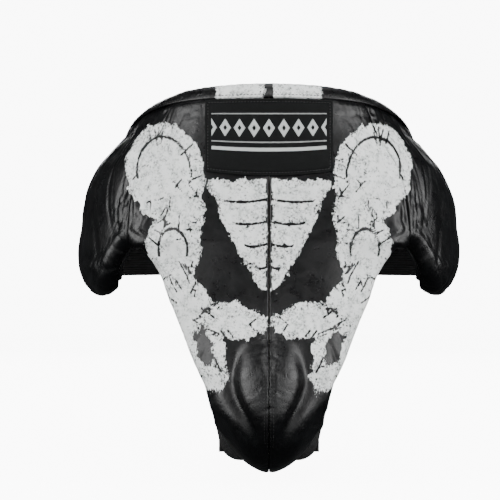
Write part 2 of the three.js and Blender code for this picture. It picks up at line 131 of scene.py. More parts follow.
class GuardColours(bpy.types.PropertyGroup):
    """Colours of each finish."""
    leather: colour_property("Leather", "Black cowhide", "#060607")
    worn_leather: colour_property("Worn leather", "Cowhide where it is handled", "#0B0C0D")
    binding: colour_property("Binding", "Rolled leather edges", "#0D0E0F")
    paint: colour_property("Paint", "Brushed leather paint", "#F4F6F5")
    thin_paint: colour_property("Thin paint", "Paint where the hide shows through", "#9EA4A2")
    label_ground: colour_property("Label ground", "Satin ground of the label", "#040606")
    label_figure: colour_property("Label figure", "Woven figure of the label", "#EDEFEE")
    lining: colour_property("Lining", "Nylon lining", "#0C0D0F")
    # painted highlight: the lighter colour that the crests of the lining's threads take
    lining_sheen: colour_property("Lining sheen", "Raised threads of the lining", "#1B1D20")
    webbing: colour_property("Webbing", "Elastic and tapes", "#0B0C0D")
    # painted highlight: the lighter colour that the crests of the webbing's threads take
    webbing_highlight: colour_property("Webbing rib", "Raised threads of the elastic", "#1A1B1D")
    thread: colour_property("Thread", "Sewing thread", "#141516")
    rubber: colour_property("Rubber", "Edge trim of the cup", "#1D1E1F")
    foam: colour_property("Foam", "EVA padding", "#BDB8AB")
    foam_shade: colour_property("Foam shade", "Mottle of the padding", "#A7A297")
    cup: colour_property("Cup", "Moulded cup", "#D5D7D4")
    cup_shade: colour_property("Cup shade", "Mottle of the cup", "#C6C9C6")


class GuardStage(bpy.types.PropertyGroup):
    """The studio round the object."""
    paper: colour_property("Paper", "Floor and backdrop", "#F2F3F4")
    key_light: bpy.props.FloatProperty(name="Key light", description="Power of each side softbox in watts",
                                       default=34.0, min=0.0, unit="POWER")
    backdrop_glow: bpy.props.FloatProperty(
        name="Backdrop glow", description="How brightly the backdrop is lit",
        default=9.0, min=0.0, subtype="FACTOR", max=50.0)


def sizes(name):
    """A user's size, in millimetres."""
    return getattr(bpy.context.scene.guard_sizes, name) / MM


def colour(name):
    """A user's colour, as linear RGBA."""
    return tuple(getattr(bpy.context.scene.guard_colours, name))


# ---- the guard's surfaces
KEEL_POINTS = [
    (0, 119), (0.16, 124), (0.32, 129), (0.47, 132), (0.62, 138), (0.75, 151),
    (0.855, 153), (0.94, 136), (0.99, 99), (1, 56), (0.985, 12),
]


# ---- curves and surfaces
def curve_through(points):
    """A smooth curve through (position, value) points, read by position."""
    at, value = np.array(points, float).T
    slope = np.gradient(value, at)
    slope[1:-1] = (value[2:] - value[:-2]) / (at[2:] - at[:-2])

    def read(position):
        position = np.clip(position, at[0], at[-1])
        i = np.clip(np.searchsorted(at, position, side="right") - 1, 0, len(at) - 2)
        span = at[i + 1] - at[i]
        t = (position - at[i]) / span
        ease = t * t * (3 - 2 * t)
        start = t * (1 - t) ** 2 * slope[i] * span
        end = t * t * (t - 1) * slope[i + 1] * span
        return value[i] + (value[i + 1] - value[i]) * ease + start + end

    return read


def smooth(start, end, value):
    t = np.clip((value - start) / (end - start), 0, 1)
    return t * t * (3 - 2 * t)


def mix(a, b, t):
    return a + (b - a) * t


def unit(vectors):
    return vectors / np.maximum(np.linalg.norm(vectors, axis=-1, keepdims=True), 1e-12)


def catmull(points, steps):
    """Centripetal Catmull-Rom line through points, at evenly spaced places along it."""
    p = np.array(points, float)
    p = np.vstack([2 * p[0] - p[1], p, 2 * p[-1] - p[-2]])
    t = np.linspace(0, 1, 40)[:, None]
    line = []
    for a, b, c, d in zip(p, p[1:], p[2:], p[3:]):
        g0, g1, g2 = (np.sqrt(np.linalg.norm(q - r)) for q, r in ((b, a), (c, b), (d, c)))
        m1 = ((b - a) / g0 - (c - a) / (g0 + g1) + (c - b) / g1) * g1
        m2 = ((c - b) / g1 - (d - b) / (g1 + g2) + (d - c) / g2) * g1
        line.append(b + m1 * t + (3 * (c - b) - 2 * m1 - m2) * t**2 + (2 * (b - c) + m1 + m2) * t**3)
    line = np.vstack(line)
    run = np.concatenate([[0], np.cumsum(np.linalg.norm(np.diff(line, axis=0), axis=1))])
    run, keep = np.unique(run, return_index=True)
    place = np.linspace(0, run[-1], steps)
    return np.stack([np.interp(place, run, line[keep, k]) for k in range(p.shape[1])], -1), run[-1]


KEEL_LINE, KEEL_LENGTH = catmull(
    [(RING_CENTRE_Y - forward, -drop * FRONT_HEIGHT) for drop, forward in KEEL_POINTS], 1200
)
KEEL_DOWN = np.linspace(0, KEEL_LENGTH, len(KEEL_LINE))
KEEL_TANGENT = unit(np.gradient(KEEL_LINE, axis=0))

ring_half_width = curve_through([
    (drop * FRONT_HEIGHT, share * HIP_HALF) for drop, share in [
        (0, 0.64), (0.053, 0.69), (0.113, 0.755), (0.158, 0.83), (0.203, 0.905), (0.276, 0.965),
        (0.36, 0.99), (0.453, 1), (0.513, 0.96), (0.558, 0.885),
    ]
])
ARCH_WIDTH = float(ring_half_width(ARCH_HEIGHT)) * math.sin(math.radians(CREASE))
front_half_width = curve_through([
    (mix(ARCH_HEIGHT, KEEL_LENGTH, share), ARCH_WIDTH * width) for share, width in [
        (0, 1), (0.02, 0.93), (0.055, 0.85), (0.1, 0.78), (0.16, 0.72), (0.3, 0.57), (0.4, 0.465),
        (0.52, 0.415), (0.63, 0.4), (0.75, 0.37), (0.87, 0.34), (1, 0.3),
    ]
])
edge_depth = curve_through([
    (mix(ARCH_HEIGHT, KEEL_LENGTH, share), depth) for share, depth in [
        (0, 38), (0.16, 28), (0.3, 26), (0.4, 30), (0.52, 40), (0.63, 46), (0.75, 50), (0.87, 46),
        (1, 35),
    ]
])
wing_lower_edge = curve_through([
    (angle, share * ARCH_HEIGHT) for angle, share in [
        (45, 1), (48, 1.035), (51, 1.1), (57, 1.23), (65, 1.335), (75, 1.38), (85, 1.375),
        (100, 1.335), (118, 1.255),
    ]
])
rim_drop = curve_through([(0, 0), (40, 2), (60, 8), (80, 20), (100, 38), (118, 55)])


def keel_at(down):
    read = [np.interp(down, KEEL_DOWN, KEEL_LINE[:, k]) for k in (0, 1)]
    return read + [np.interp(down, KEEL_DOWN, KEEL_TANGENT[:, k]) for k in (0, 1)]


def front_point(angle, down):
    """Outer surface of the front, at degrees round the oval and millimetres down the keel."""
    y, z, along_y, along_z = keel_at(down)
    lean = np.arctan2(along_y, -along_z) * smooth(210, 300, down)
    turn, crease = np.radians(angle), math.radians(CREASE)
    narrow = np.where(
        down > ARCH_HEIGHT, front_half_width(down) / math.sin(crease), ring_half_width(down)
    )
    keel_depth = edge_depth(down) / (1 - math.cos(crease))
    depth = mix(RING_CENTRE_Y - y, keel_depth, smooth(ARCH_HEIGHT, ARCH_HEIGHT + 60, down))
    x = narrow * np.sin(turn)
    dome = 9 * np.exp(-((x / 30) ** 2 + ((down - CUP_MIDDLE + 14) / 55) ** 2))
    back = depth * (1 - np.cos(turn)) - dome
    return np.stack([x, y + np.cos(lean) * back, z + np.sin(lean) * back], -1)


def ring_point(angle, down):
    """Outer surface of the oval that the wings follow."""
    y, z, _, _ = keel_at(down)
    turn = np.radians(angle)
    x = ring_half_width(down) * np.sin(turn)
    return np.stack([x, RING_CENTRE_Y - (RING_CENTRE_Y - y) * np.cos(turn), z + 0 * turn], -1)


def belt_point(angle, down):
    """Outer surface of the belt, which is straight from its top to its bottom edge."""
    top, bottom = ring_half_width(BELT_TOP), ring_half_width(BELT_TOP + BELT_HEIGHT)
    half = mix(top, bottom, (down - BELT_TOP) / BELT_HEIGHT) + BELT_OUT
    turn = np.radians(angle)
    y = RING_CENTRE_Y - BELT_FORWARD * np.cos(turn)
    return np.stack([half * np.sin(turn), y + 0 * down, -down + 0 * turn], -1)


def normal_on(surface, angle, down):
    across = surface(angle + 0.2, down) - surface(angle - 0.2, down)
    along = surface(angle, down + 0.5) - surface(angle, down - 0.5)
    return unit(np.cross(along, across))


def under(surface, angle, down, depth):
    angle, down = np.broadcast_arrays(np.asarray(angle, float), np.asarray(down, float))
    depth = np.broadcast_to(depth, angle.shape)[..., None]
    return surface(angle, down) - normal_on(surface, angle, down) * depth


# ---- the leg opening's edge
EDGE_SPLIT = 420  # how many of the edge's points lie on the front


def leg_edge_line():
    """The line where the rolled edge of the leg opening begins, INSET in from the edge, from the
    tail of the keel over the arch to the wing's corner: angle, down and the way out to the edge."""
    down = mix(KEEL_LENGTH, ARCH_HEIGHT, np.sin(np.linspace(0, 1, EDGE_SPLIT) * math.pi / 2))
    share = np.linspace(0, 1, 360)[1:]
    angle = mix(CREASE, WING_END, share**2 * (2 - share))
    angle = np.concatenate([np.full(len(down), float(CREASE)), angle])
    down = np.concatenate([down, wing_lower_edge(angle[len(down):])])

    on_front = np.arange(len(angle)) < EDGE_SPLIT

    def surface(a, d):
        return np.where(on_front[:, None], front_point(a, d), ring_point(a, d))

    edge = surface(angle, down)
    run = np.cumsum(np.linalg.norm(np.diff(edge, axis=0, prepend=edge[:1]), axis=1))
    tangent = np.stack([
        np.interp(run + 5, run, edge[:, k]) - np.interp(run - 5, run, edge[:, k]) for k in range(3)
    ], -1)
    out = unit(np.cross(tangent, normal_on(surface, angle, down)))
    target = edge - INSET * out
    a, d = angle.copy(), down.copy()
    for _ in range(5):
        at = surface(a, d)
        by_angle = (surface(a + 0.1, d) - surface(a - 0.1, d)) / 0.2
        by_down = (surface(a, d + 0.5) - surface(a, d - 0.5)) / 1.0
        miss = target - at
        m11, m12, m22 = (np.sum(p * q, 1) for p, q in
                         ((by_angle, by_angle), (by_angle, by_down), (by_down, by_down)))
        b1, b2 = np.sum(by_angle * miss, 1), np.sum(by_down * miss, 1)
        det = m11 * m22 - m12**2
        a += np.clip((m22 * b1 - m12 * b2) / det, -3, 3)
        d += np.clip((m11 * b2 - m12 * b1) / det, -8, 8)
    return a, np.clip(d, 0, KEEL_LENGTH), out


EDGE_ANGLE, EDGE_DOWN, EDGE_OUT = leg_edge_line()
SPLIT = EDGE_SPLIT // 2 + int(np.argmax(EDGE_ANGLE[EDGE_SPLIT // 2:] > CREASE))
EDGE_SURFACE_FRONT = np.arange(len(EDGE_ANGLE)) < EDGE_SPLIT
CORNER_DOWN = float(np.interp(CREASE, EDGE_ANGLE[SPLIT - 1: SPLIT + 1], EDGE_DOWN[SPLIT - 1: SPLIT + 1]))


def monotone(key, values):
    order = np.argsort(key)
    return key[order], values[order]


def front_edge(down):
    """Angle of the inset line on the front at a distance down, and the way out to the edge."""
    key, angle = monotone(EDGE_DOWN[:SPLIT + 1], np.minimum(EDGE_ANGLE[:SPLIT + 1], CREASE))
    outs = [np.interp(down, *monotone(EDGE_DOWN[:SPLIT + 1], EDGE_OUT[:SPLIT + 1, k])) for k in range(3)]
    reach = np.where(down <= CORNER_DOWN, float(CREASE), np.interp(down, key, angle))
    return reach, np.stack(outs, -1)


def wing_edge(angle):
    """Distance down of the inset line on a wing at an angle, and the way out to the edge."""
    part = slice(SPLIT - 1, None)
    outs = [np.interp(angle, *monotone(EDGE_ANGLE[part], EDGE_OUT[part, k])) for k in range(3)]
    return np.interp(angle, *monotone(EDGE_ANGLE[part], EDGE_DOWN[part])), np.stack(outs, -1)


def rolled(begin, normal, out, stack, theta, reach=INSET, stands=0.0):
    """Points and normals round a padded edge, from theta 0 on the outer face to 180 degrees on
    the lining side. begin, normal and out hold one row for each section."""
    out = unit(out - normal * np.sum(out * normal, -1, keepdims=True))
    turn = np.radians(theta)[None, :, None]
    half = stack[:, None, None] / 2
    normal, out, begin = normal[:, None, :], out[:, None, :], begin[:, None, :]
    puff = 1 + stands / half
    point = begin - normal * half + normal * np.cos(turn) * half * puff
    point = point + out * np.sin(turn) * (reach + stands)
    facing = unit(normal * np.cos(turn) * reach + out * np.sin(turn) * half)
    return point, facing


# ---- noise, folds and relief
FRONT_PER_DEGREE = 2.9  # millimetres round the front for one degree of the oval
WING_PER_DEGREE = 3.2  # the same on the wider hips


def noise(x, y, seed):
    """Smooth value noise from -1 to 1, one lattice cell per unit."""
    table = np.random.default_rng(seed).uniform(-1, 1, (64, 64))
    x, y = np.broadcast_arrays(np.asarray(x, float), np.asarray(y, float))
    i, j = np.floor(x).astype(int), np.floor(y).astype(int)
    u, v = x - i, y - j
    u, v = u * u * (3 - 2 * u), v * v * (3 - 2 * v)
    corner = [table[(i + a) % 64, (j + b) % 64] for a, b in ((0, 0), (1, 0), (0, 1), (1, 1))]
    return mix(mix(corner[0], corner[1], u), mix(corner[2], corner[3], u), v)


def creases(across, along, seed, sharp=0.22):
    """Rounded crests between narrow valleys: 0 on a crest and -1 in a valley."""
    wander = noise(across, along, seed) + 0.35 * noise(across * 2.3, along * 1.7, seed + 1)
    return -np.exp(-((wander / sharp) ** 2))


def fan_folds(angle, down, side):
    """Long folds that run up from the top of the arch towards the rim."""
    sideways = (angle - CREASE) * FRONT_PER_DEGREE
    up = CORNER_DOWN - down
    spread = sideways / (52 + np.maximum(up, -20) * 0.9)
    fade = np.exp(-((spread - 0.1) / 0.5) ** 2) * smooth(-20, 12, up) * (1 - smooth(60, 145, up))
    seed = 11 if side > 0 else 31
    folds = 1.5 * creases(spread * 9.0, up / 75, seed) + 0.55 * creases(spread * 19, up / 45, seed + 5)
    swell = 1.6 * noise(spread * 4, up / 60, seed + 9)
    return 0.8 * fade * (folds + swell)


def rim_folds(angle, down, side):
    """Small gathers under the waist binding, and the crease along it."""
    below = down - rim_drop(np.abs(angle)) - INSET
    run = angle * FRONT_PER_DEGREE * side
    gathers = 0.55 * creases(run / 11, below / 60, 51) * np.exp(-np.maximum(below, 0) / 13)
    crease = -1.3 * np.exp(-((below - 1.0) / 2.6) ** 2)
    ripple = 0.5 * creases(below / 9 + 0.7 * noise(run / 40, 0, 53), run / 60, 54)
    ripple = ripple * np.exp(-((below - 12) / 10) ** 2)
    return gathers + crease + ripple


def cup_relief(x, down):
    """The valley round the cup, the padded roll outside it and the swell of the cup itself."""
    narrowing = 1 - 0.42 * smooth(282, 350, down)
    ring = np.hypot(x / (37 * narrowing), (down - 290) / 62)
    lower = smooth(232, 275, down)
    valley = -4.4 * np.exp(-((ring - 1.0) / 0.21) ** 2) * lower
    roll = 1.6 * np.exp(-((ring - 1.62) / 0.33) ** 2) * lower * (1 - smooth(430, 480, down))
    top = 2.2 * np.exp(-((x / 26) ** 2 + ((down - 276) / 34) ** 2))
    return valley + roll + top


def seam_relief(x, down, side):
    """The centre seam and the puckers that its stitches pull."""
    near = np.abs(x)
    along = smooth(84, 100, down)
    groove = -0.9 * np.exp(-((near / 0.8) ** 2)) * along
    pull = smooth(215, 245, down) * (1 - smooth(400, 440, down)) * np.exp(-near / 11)
    pucker = 0.75 * creases(down / 6.2 - near / 16, near / 14, 61 if side > 0 else 67, 0.3) * pull
    small = 0.28 * creases(down / 3.1, near / 8, 63 if side > 0 else 69, 0.3) * pull * np.exp(-near / 7)
    swell = 0.5 * np.exp(-((near - 5) / 4) ** 2) * along
    return groove + pucker + small + swell


def keel_edge_folds(angle, down, side):
    """Slanting folds where the front turns round the edge of the keel."""
    reach, _ = front_edge(down)
    inward = (reach - angle) * np.radians(1) * front_half_width(down) / math.sin(math.radians(CREASE))
    fade = np.exp(-((inward - 2) / 13) ** 2) * smooth(190, 240, down) * (1 - smooth(420, 470, down))
    amount = 1.25 if side > 0 else 0.7
    return amount * fade * creases((down + 0.9 * inward) / 17, inward / 40, 71 if side > 0 else 77, 0.25)


def front_relief(angle, down, side):
    """All the folds, seams and swells of one half of the front, in millimetres outwards."""
    x = front_point(angle, down)[..., 0]
    broad = 0.9 * noise(side * x / 38, down / 46, 81) + 0.35 * noise(side * x / 15, down / 19, 82)
    label = smooth(LABEL_TOP - 4, LABEL_TOP + 4, down) * (1 - smooth(88, 98, down)) * (1 - smooth(60, 72, x))
    calm = 1 - 0.85 * label
    relief = (broad + fan_folds(angle, down, side)) * calm + rim_folds(angle, down, side) * (1 - 0.6 * label)
    relief = relief + seam_relief(x, down, side) * (1 - label)
    edge = keel_edge_folds(angle, down, side) * smooth(CORNER_DOWN, CORNER_DOWN + 50, down)
    return relief + cup_relief(x, down) + edge


def wing_relief(angle, down, side):
    """All the folds and swells of a wing, in millimetres outwards."""
    run = angle * WING_PER_DEGREE
    broad = 1.3 * noise(side * run / 55, down / 62, 91) + 0.5 * noise(side * run / 21, down / 26, 92)
    slack = 0.8 * creases(run / 36 + down / 150, down / 70, 93 if side > 0 else 97, 0.2)
    slack = slack * smooth(48, 62, angle) * (1 - smooth(95, 112, angle))
    return broad + slack * smooth(20, 60, down) + fan_folds(angle, down, side) + rim_folds(angle, down, side)


def edge_gathers(run, past, side, amount):
    """Gathers across a rolled edge. run is millimetres along it, past is millimetres beyond the
    line where the roll begins, and they deepen towards the welt."""
    deepen = smooth(-22, 20, past)
    seed = 101 if side > 0 else 107
    coarse = creases(run / 13, past / 40, seed, 0.26)
    fine = creases(run / 6.1, past / 25, seed + 3, 0.3) * smooth(-4, 22, past)
    return 0.75 * amount * deepen * (1.3 * coarse + 0.6 * fine)


# ---- mesh helpers
def grid_mesh(name, points, facing=None, keep=None, attributes=None, uv=None, ring=False):
    """A mesh from a grid of points in millimetres, rows by columns, with vertex attributes. Its
    faces point the way that `facing` does. A ring's last column joins its first."""
    rows, columns = points.shape[:2]
    index = np.arange(rows * columns).reshape(rows, columns)
    if ring:
        index = np.hstack([index, index[:, :1]])
    quads = np.stack([index[:-1, :-1], index[:-1, 1:], index[1:, 1:], index[1:, :-1]], -1)
    if facing is not None:
        corner = points.reshape(-1, 3)[quads.reshape(-1, 4)]
        turned = np.cross(corner[:, 2] - corner[:, 0], corner[:, 3] - corner[:, 1])
        if np.sum(turned * facing.reshape(-1, 3)[quads.reshape(-1, 4)[:, 0]]) < 0:
            quads = quads[..., ::-1]
    quads = quads.reshape(-1, 4) if keep is None else quads[keep]
    used, faces = np.unique(quads, return_inverse=True)
    faces = faces.reshape(-1, 4)
    place = points.reshape(-1, 3)[used] * MM
    mesh = bpy.data.meshes.new(name)
    mesh.from_pydata(place.tolist(), [], faces.tolist())
    for key, value in (attributes or {}).items():
        data = mesh.attributes.new(key, "FLOAT", "POINT")
        data.data.foreach_set("value", np.asarray(value, np.float32).reshape(-1)[used])
    if uv is not None:
        layer = mesh.uv_layers.new(name="UVMap")
        flat = np.asarray(uv, float).reshape(-1, 2)[used][faces.reshape(-1)] * MM
        layer.data.foreach_set("uv", flat.astype(np.float32).reshape(-1))
    obj = linked(name, mesh)
    mesh.shade_smooth()
    return obj


def linked(name, mesh):
    """A new object for a mesh, in the scene's collection."""
    obj = bpy.data.objects.new(name, mesh)
    bpy.context.collection.objects.link(obj)
    return obj


def only(obj):
    """Selects one object and nothing else."""
    bpy.ops.object.select_all(action="DESELECT")
    obj.select_set(True)
    bpy.context.view_layer.objects.active = obj


def apply_modifier(obj, kind, **settings):
    """Adds one modifier with its settings and applies it."""
    only(obj)
    modifier = obj.modifiers.new(kind.title(), kind)
    for key, value in settings.items():
        setattr(modifier, key, value)
    bpy.ops.object.modifier_apply(modifier=modifier.name)


def flip(obj):
    """Turns a mesh's faces round."""
    only(obj)
    obj.data.flip_normals()


def mesh_points(obj):
    """A mesh's vertices as rows of an array."""
    co = np.empty(len(obj.data.vertices) * 3, np.float32)
    obj.data.vertices.foreach_get("co", co)
    return co.reshape(-1, 3).astype(float)


def wall(obj, thickness, offset=-1.0):
    """Gives a sheet its thickness, in millimetres, inwards from its outer face."""
    apply_modifier(obj, "SOLIDIFY", thickness=thickness * MM, offset=offset, use_even_offset=False)
    obj.data.shade_smooth()


def sided(points, side):
    """Points of the right-hand side as they are, or mirrored to the left."""
    return points * np.array([side, 1, 1])


def side_name(side):
    return "right" if side > 0 else "left"


def cubic_matrix(count, size):
    """Weights that read `count` evenly spaced values from `size` coarse ones, smoothly."""
    at = np.linspace(0, size - 1, count)
    i = np.clip(at.astype(int), 0, size - 2)
    t = at - i
    weights = np.zeros((count, size))
    parts = [(-t + 2 * t**2 - t**3) / 2, (2 - 5 * t**2 + 3 * t**3) / 2,
             (t + 4 * t**2 - 3 * t**3) / 2, (-(t**2) + t**3) / 2]
    for shift, part in zip((-1, 0, 1, 2), parts):
        np.add.at(weights, (np.arange(count), np.clip(i + shift, 0, size - 1)), part)
    return weights


def settled(points, normals, step, cap):
    """How far a leather skin lifts off its foam: a coarse copy is let out a little and settled
    with Cloth, held all round. Returns millimetres along the normals, on the fine grid."""
    rows, columns = (max(6, round(n / step)) for n in points.shape[:2])
    pick_rows = np.linspace(0, points.shape[0] - 1, rows).round().astype(int)
    pick_columns = np.linspace(0, points.shape[1] - 1, columns).round().astype(int)
    coarse, facing = (a[pick_rows][:, pick_columns] for a in (points, normals))
    obj = grid_mesh("settling", coarse)
    held = np.zeros((rows, columns), bool)
    held[[0, -1]] = held[:, [0, -1]] = True
    group = obj.vertex_groups.new(name="held")
    group.add([int(i) for i in np.flatnonzero(held)], 1.0, "REPLACE")
    only(obj)
    cloth = obj.modifiers.new("Cloth", "CLOTH")
    settings = cloth.settings
    settings.quality = 5
    settings.mass = 0.4
    settings.tension_stiffness = settings.compression_stiffness = 12
    settings.bending_stiffness = 0.6
    settings.vertex_group_mass = "held"
    settings.shrink_min = -0.035
    settings.use_pressure = True
    settings.uniform_pressure_force = 1.2
    settings.effector_weights.gravity = 0
    cloth.point_cache.frame_end = 24
    for number in range(1, 25):
        bpy.context.scene.frame_set(number)
    settled_mesh = obj.evaluated_get(bpy.context.evaluated_depsgraph_get()).to_mesh()
    co = np.empty(rows * columns * 3, np.float32)
    settled_mesh.vertices.foreach_get("co", co)
    lift = np.sum((co.reshape(rows, columns, 3) / MM - coarse) * facing, -1)
    bpy.data.objects.remove(obj)
    bpy.context.scene.frame_set(1)
    lift = cap * np.tanh(lift / cap)
    return cubic_matrix(points.shape[0], rows) @ lift @ cubic_matrix(points.shape[1], columns).T


def finish_piece(obj, body, material, nodes=()):
    """Gives a piece its material, its body and the nodes that it stands in for."""
    obj.data.materials.clear()
    obj.data.materials.append(material_of(material))
    if body:
        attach(obj, body)
    if nodes:
        obj.name = obj.data.name = f"{nodes[0]}_finished"
        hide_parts(*nodes)
    return obj


# ---- painted motif
# A plain textbook pelvis in white paint, made of ovals and a wedge. Each oval of the right half
# has its centre (out from the middle, up from the rim), half width and half length, and the tilt
# of its upper end outwards in degrees.
PELVIS = {
    "iliac_wing": ((102, -84), (38, 50), 16),
    "iliac_neck": ((86, -122), (24, 34), -6),
    "hip_socket": ((93, -160), (26, 36), 4),
    "sitting_bone": ((73, -236), (26, 60), 20),
    "pubic_bone": ((40, -229), (36, 17), -4),
}
SITTING_BONE_HOLE = ((62, -252), (9, 18), 20)  # the opening through the sitting bone
SACRUM_TOP, SACRUM_BOTTOM = -94, -200
SACRUM_HALF = 53
SACRUM_HOLES = 4  # pairs of small openings, one pair between each two segments
MIDDLE_GAP = 3.0
RIM_BLOCK = (5, 50)  # the paint that runs over the rim on each side of the middle


def oval(x, z, centre, half, tilt, share=1.0):
    """Signed distance, positive inside, to a tilted oval, or to one of a share of its size."""
    turn = math.radians(tilt)
    out, up = x - centre[0], z - centre[1]
    across = out * math.cos(turn) - up * math.sin(turn)
    along = out * math.sin(turn) + up * math.cos(turn)
    return (share - np.hypot(across / half[0], along / half[1])) * min(half)


def sacrum_half_width(z):
    fall = np.clip((SACRUM_TOP - z) / (SACRUM_TOP - SACRUM_BOTTOM), 0, 1)
    return SACRUM_HALF * (1 - fall**1.3) + 5


def motif_distance(x, z):
    """Signed distance to the painted shapes, positive inside, and distance to the ink lines."""
    x = np.abs(x)
    half_width = sacrum_half_width(z)
    sacrum = np.minimum(np.minimum(0.85 * (half_width - x), SACRUM_TOP - z), z - SACRUM_BOTTOM)
    inside_by = sacrum
    for shape in PELVIS.values():
        inside_by = np.maximum(inside_by, oval(x, z, *shape))
    inside_by = np.minimum(inside_by, -oval(x, z, *SITTING_BONE_HOLE))
    ink = np.full(x.shape, 50.0)
    for number in range(SACRUM_HOLES):
        level = SACRUM_TOP + (number + 1) * (SACRUM_BOTTOM - SACRUM_TOP) / (SACRUM_HOLES + 1)
        out = 0.5 * float(sacrum_half_width(level))
        inside_by = np.minimum(inside_by, -oval(x, z, (out, level), (3.6 - 0.5 * number, 2.6), 0))
        crease = np.abs(z - level - 3 * (x / out - 1) ** 2)
        ink = np.minimum(ink, np.where(x < half_width - 7, crease, 50.0))
    # one long ridge line over the upper half of the iliac wing, and one round the hip socket
    for name, share in (("iliac_wing", 0.70), ("hip_socket", 0.55)):
        ridge = np.abs(oval(x, z, *PELVIS[name], share))
        ink = np.minimum(ink, np.where(z > PELVIS[name][0][1] - 8, ridge, 50.0))
    for stroke in hatching():
        ink = np.minimum(ink, np.sqrt(segment_distance(x, z, stroke)) + 0.35)
    inside_by = inside_by + 1.8 * noise(x / 11, z / 11, 181) + 1.5 * noise(x / 5, z / 5, 183)
    inside_by = np.minimum(inside_by, x - MIDDLE_GAP)
    rim = np.minimum(np.minimum(x - RIM_BLOCK[0], RIM_BLOCK[1] - x), z + 21)
    return np.maximum(inside_by, rim), ink


def hatching():
    """Short dry-brush strokes that run in from the ovals' outlines."""
    draw = np.random.default_rng(7)
    strokes = []
    for centre, half, tilt in PELVIS.values():
        turn = math.radians(tilt)
        for angle in draw.uniform(0, 2 * math.pi, 16):
            across, along = half[0] * math.cos(angle), half[1] * math.sin(angle)
            radius = np.array([across * math.cos(turn) + along * math.sin(turn),
                               along * math.cos(turn) - across * math.sin(turn)])
            start, end = draw.uniform(0.80, 0.97), draw.uniform(0.60, 0.78)
            strokes.append([centre + radius * start, centre + radius * end + draw.uniform(-6, 6, 2)])
    return strokes


def segment_distance(x, z, line):
    """Squared distance to an open line."""
    nearest = np.full(x.shape, 1e6)
    for (ax, az), (bx, bz) in zip(line, line[1:]):
        dx, dz = bx - ax, bz - az
        t = np.clip(((x - ax) * dx + (z - az) * dz) / max(dx * dx + dz * dz, 1e-9), 0, 1)
        nearest = np.minimum(nearest, (x - ax - t * dx) ** 2 + (z - az - t * dz) ** 2)
    return nearest


# ---- materials
def per_mm(length):
    """The pattern scale, in cells per metre, of a detail of a length in millimetres."""
    return 1000.0 / length


def add(tree, kind, inputs=None, **settings):
    """Adds a shader node with its settings, values and links."""
    made = tree.nodes.new(kind)
    for key, value in settings.items():
        setattr(made, key, value)
    for key, value in (inputs or {}).items():
        if isinstance(value, bpy.types.NodeSocket):
            tree.links.new(value, made.inputs[key])
        else:
            made.inputs[key].default_value = value
    return made


def shader(name, **values):
    """A new material: its node tree, its Principled shader and Object coordinates."""
    material = bpy.data.materials.new(name)
    material.use_nodes = True
    tree = material.node_tree
    principled = tree.nodes["Principled BSDF"]
    for key, value in values.items():
        principled.inputs[key.replace("_", " ")].default_value = value
    place = add(tree, "ShaderNodeTexCoord")
    return material, tree, principled, place


def remap(tree, value, low, high, to_low=0.0, to_high=1.0):
    """Eases a value from one range into another."""
    inputs = {"Value": value, "From Min": low, "From Max": high, "To Min": to_low, "To Max": to_high}
    return add(tree, "ShaderNodeMapRange", inputs, interpolation_type="SMOOTHSTEP").outputs["Result"]


def blend_colour(tree, share, a, b):
    """Mixes two colours, each a value or a socket."""
    made = add(tree, "ShaderNodeMix", {"Factor": share}, data_type="RGBA")
    for socket, value in ((made.inputs[6], a), (made.inputs[7], b)):
        if isinstance(value, bpy.types.NodeSocket):
            tree.links.new(value, socket)
        else:
            socket.default_value = value
    return made.outputs[2]


def calculate(tree, operation, a, b=0.0, c=0.0):
    """One math node's output."""
    return add(tree, "ShaderNodeMath", {0: a, 1: b, 2: c}, operation=operation).outputs[0]


def bump(tree, strength, depth_mm, height, normal=None):
    """A bump node's normal, on top of another normal if there is one."""
    inputs = {"Strength": strength, "Distance": depth_mm * MM, "Height": height}
    if normal is not None:
        inputs["Normal"] = normal
    return add(tree, "ShaderNodeBump", inputs).outputs["Normal"]


def cowhide_bumps(tree, coordinates, wrinkle=0.35, grain=0.16):
    """The pebbled grain and the fine wrinkles of soft cowhide. The real pebbles are about 0.6 mm
    across and are drawn at 1.5 mm so that they show."""
    soft = add(tree, "ShaderNodeTexNoise", {
        "Vector": coordinates, "Scale": per_mm(11), "Detail": 6.0, "Roughness": 0.62, "Distortion": 0.9})
    lines, pebbles = (
        add(tree, "ShaderNodeTexVoronoi", {
            "Vector": coordinates, "Scale": per_mm(size_mm), "Randomness": 1.0},
            feature="DISTANCE_TO_EDGE") for size_mm in (5.5, 1.5))
    low = bump(tree, wrinkle, 1.1, soft.outputs["Fac"])
    mid = bump(tree, wrinkle * 0.5, 0.25, remap(tree, lines.outputs["Distance"], 0.0, 0.09), low)
    top = bump(tree, grain, 0.22, remap(tree, pebbles.outputs["Distance"], 0.0, 0.3), mid)
    return top, soft.outputs["Fac"]


def black_cowhide(name="black_cowhide", roughness=0.34, wrinkle=0.35, tint="leather"):
    """Aniline-dyed cowhide with a semi-gloss finish: near black, broad soft highlights, and a
    little duller where the wrinkles are."""
    material, tree, principled, place = shader(name, IOR=1.5, Specular_IOR_Level=0.3)
    normal, soft = cowhide_bumps(tree, place.outputs["Object"], wrinkle)
    tree.links.new(normal, principled.inputs["Normal"])
    rough = remap(tree, soft, 0.3, 0.7, roughness - 0.05, roughness + 0.1)
    tree.links.new(rough, principled.inputs["Roughness"])
    wear = add(tree, "ShaderNodeTexNoise", {
        "Vector": place.outputs["Object"], "Scale": per_mm(45), "Detail": 4.0})
    shade = remap(tree, wear.outputs["Fac"], 0.35, 0.7)
    worn = blend_colour(tree, shade, colour(tint), colour("worn_leather"))
    tree.links.new(worn, principled.inputs["Base Color"])
    principled.inputs["Coat Weight"].default_value = 0.08
    principled.inputs["Coat Roughness"].default_value = 0.3
    return material


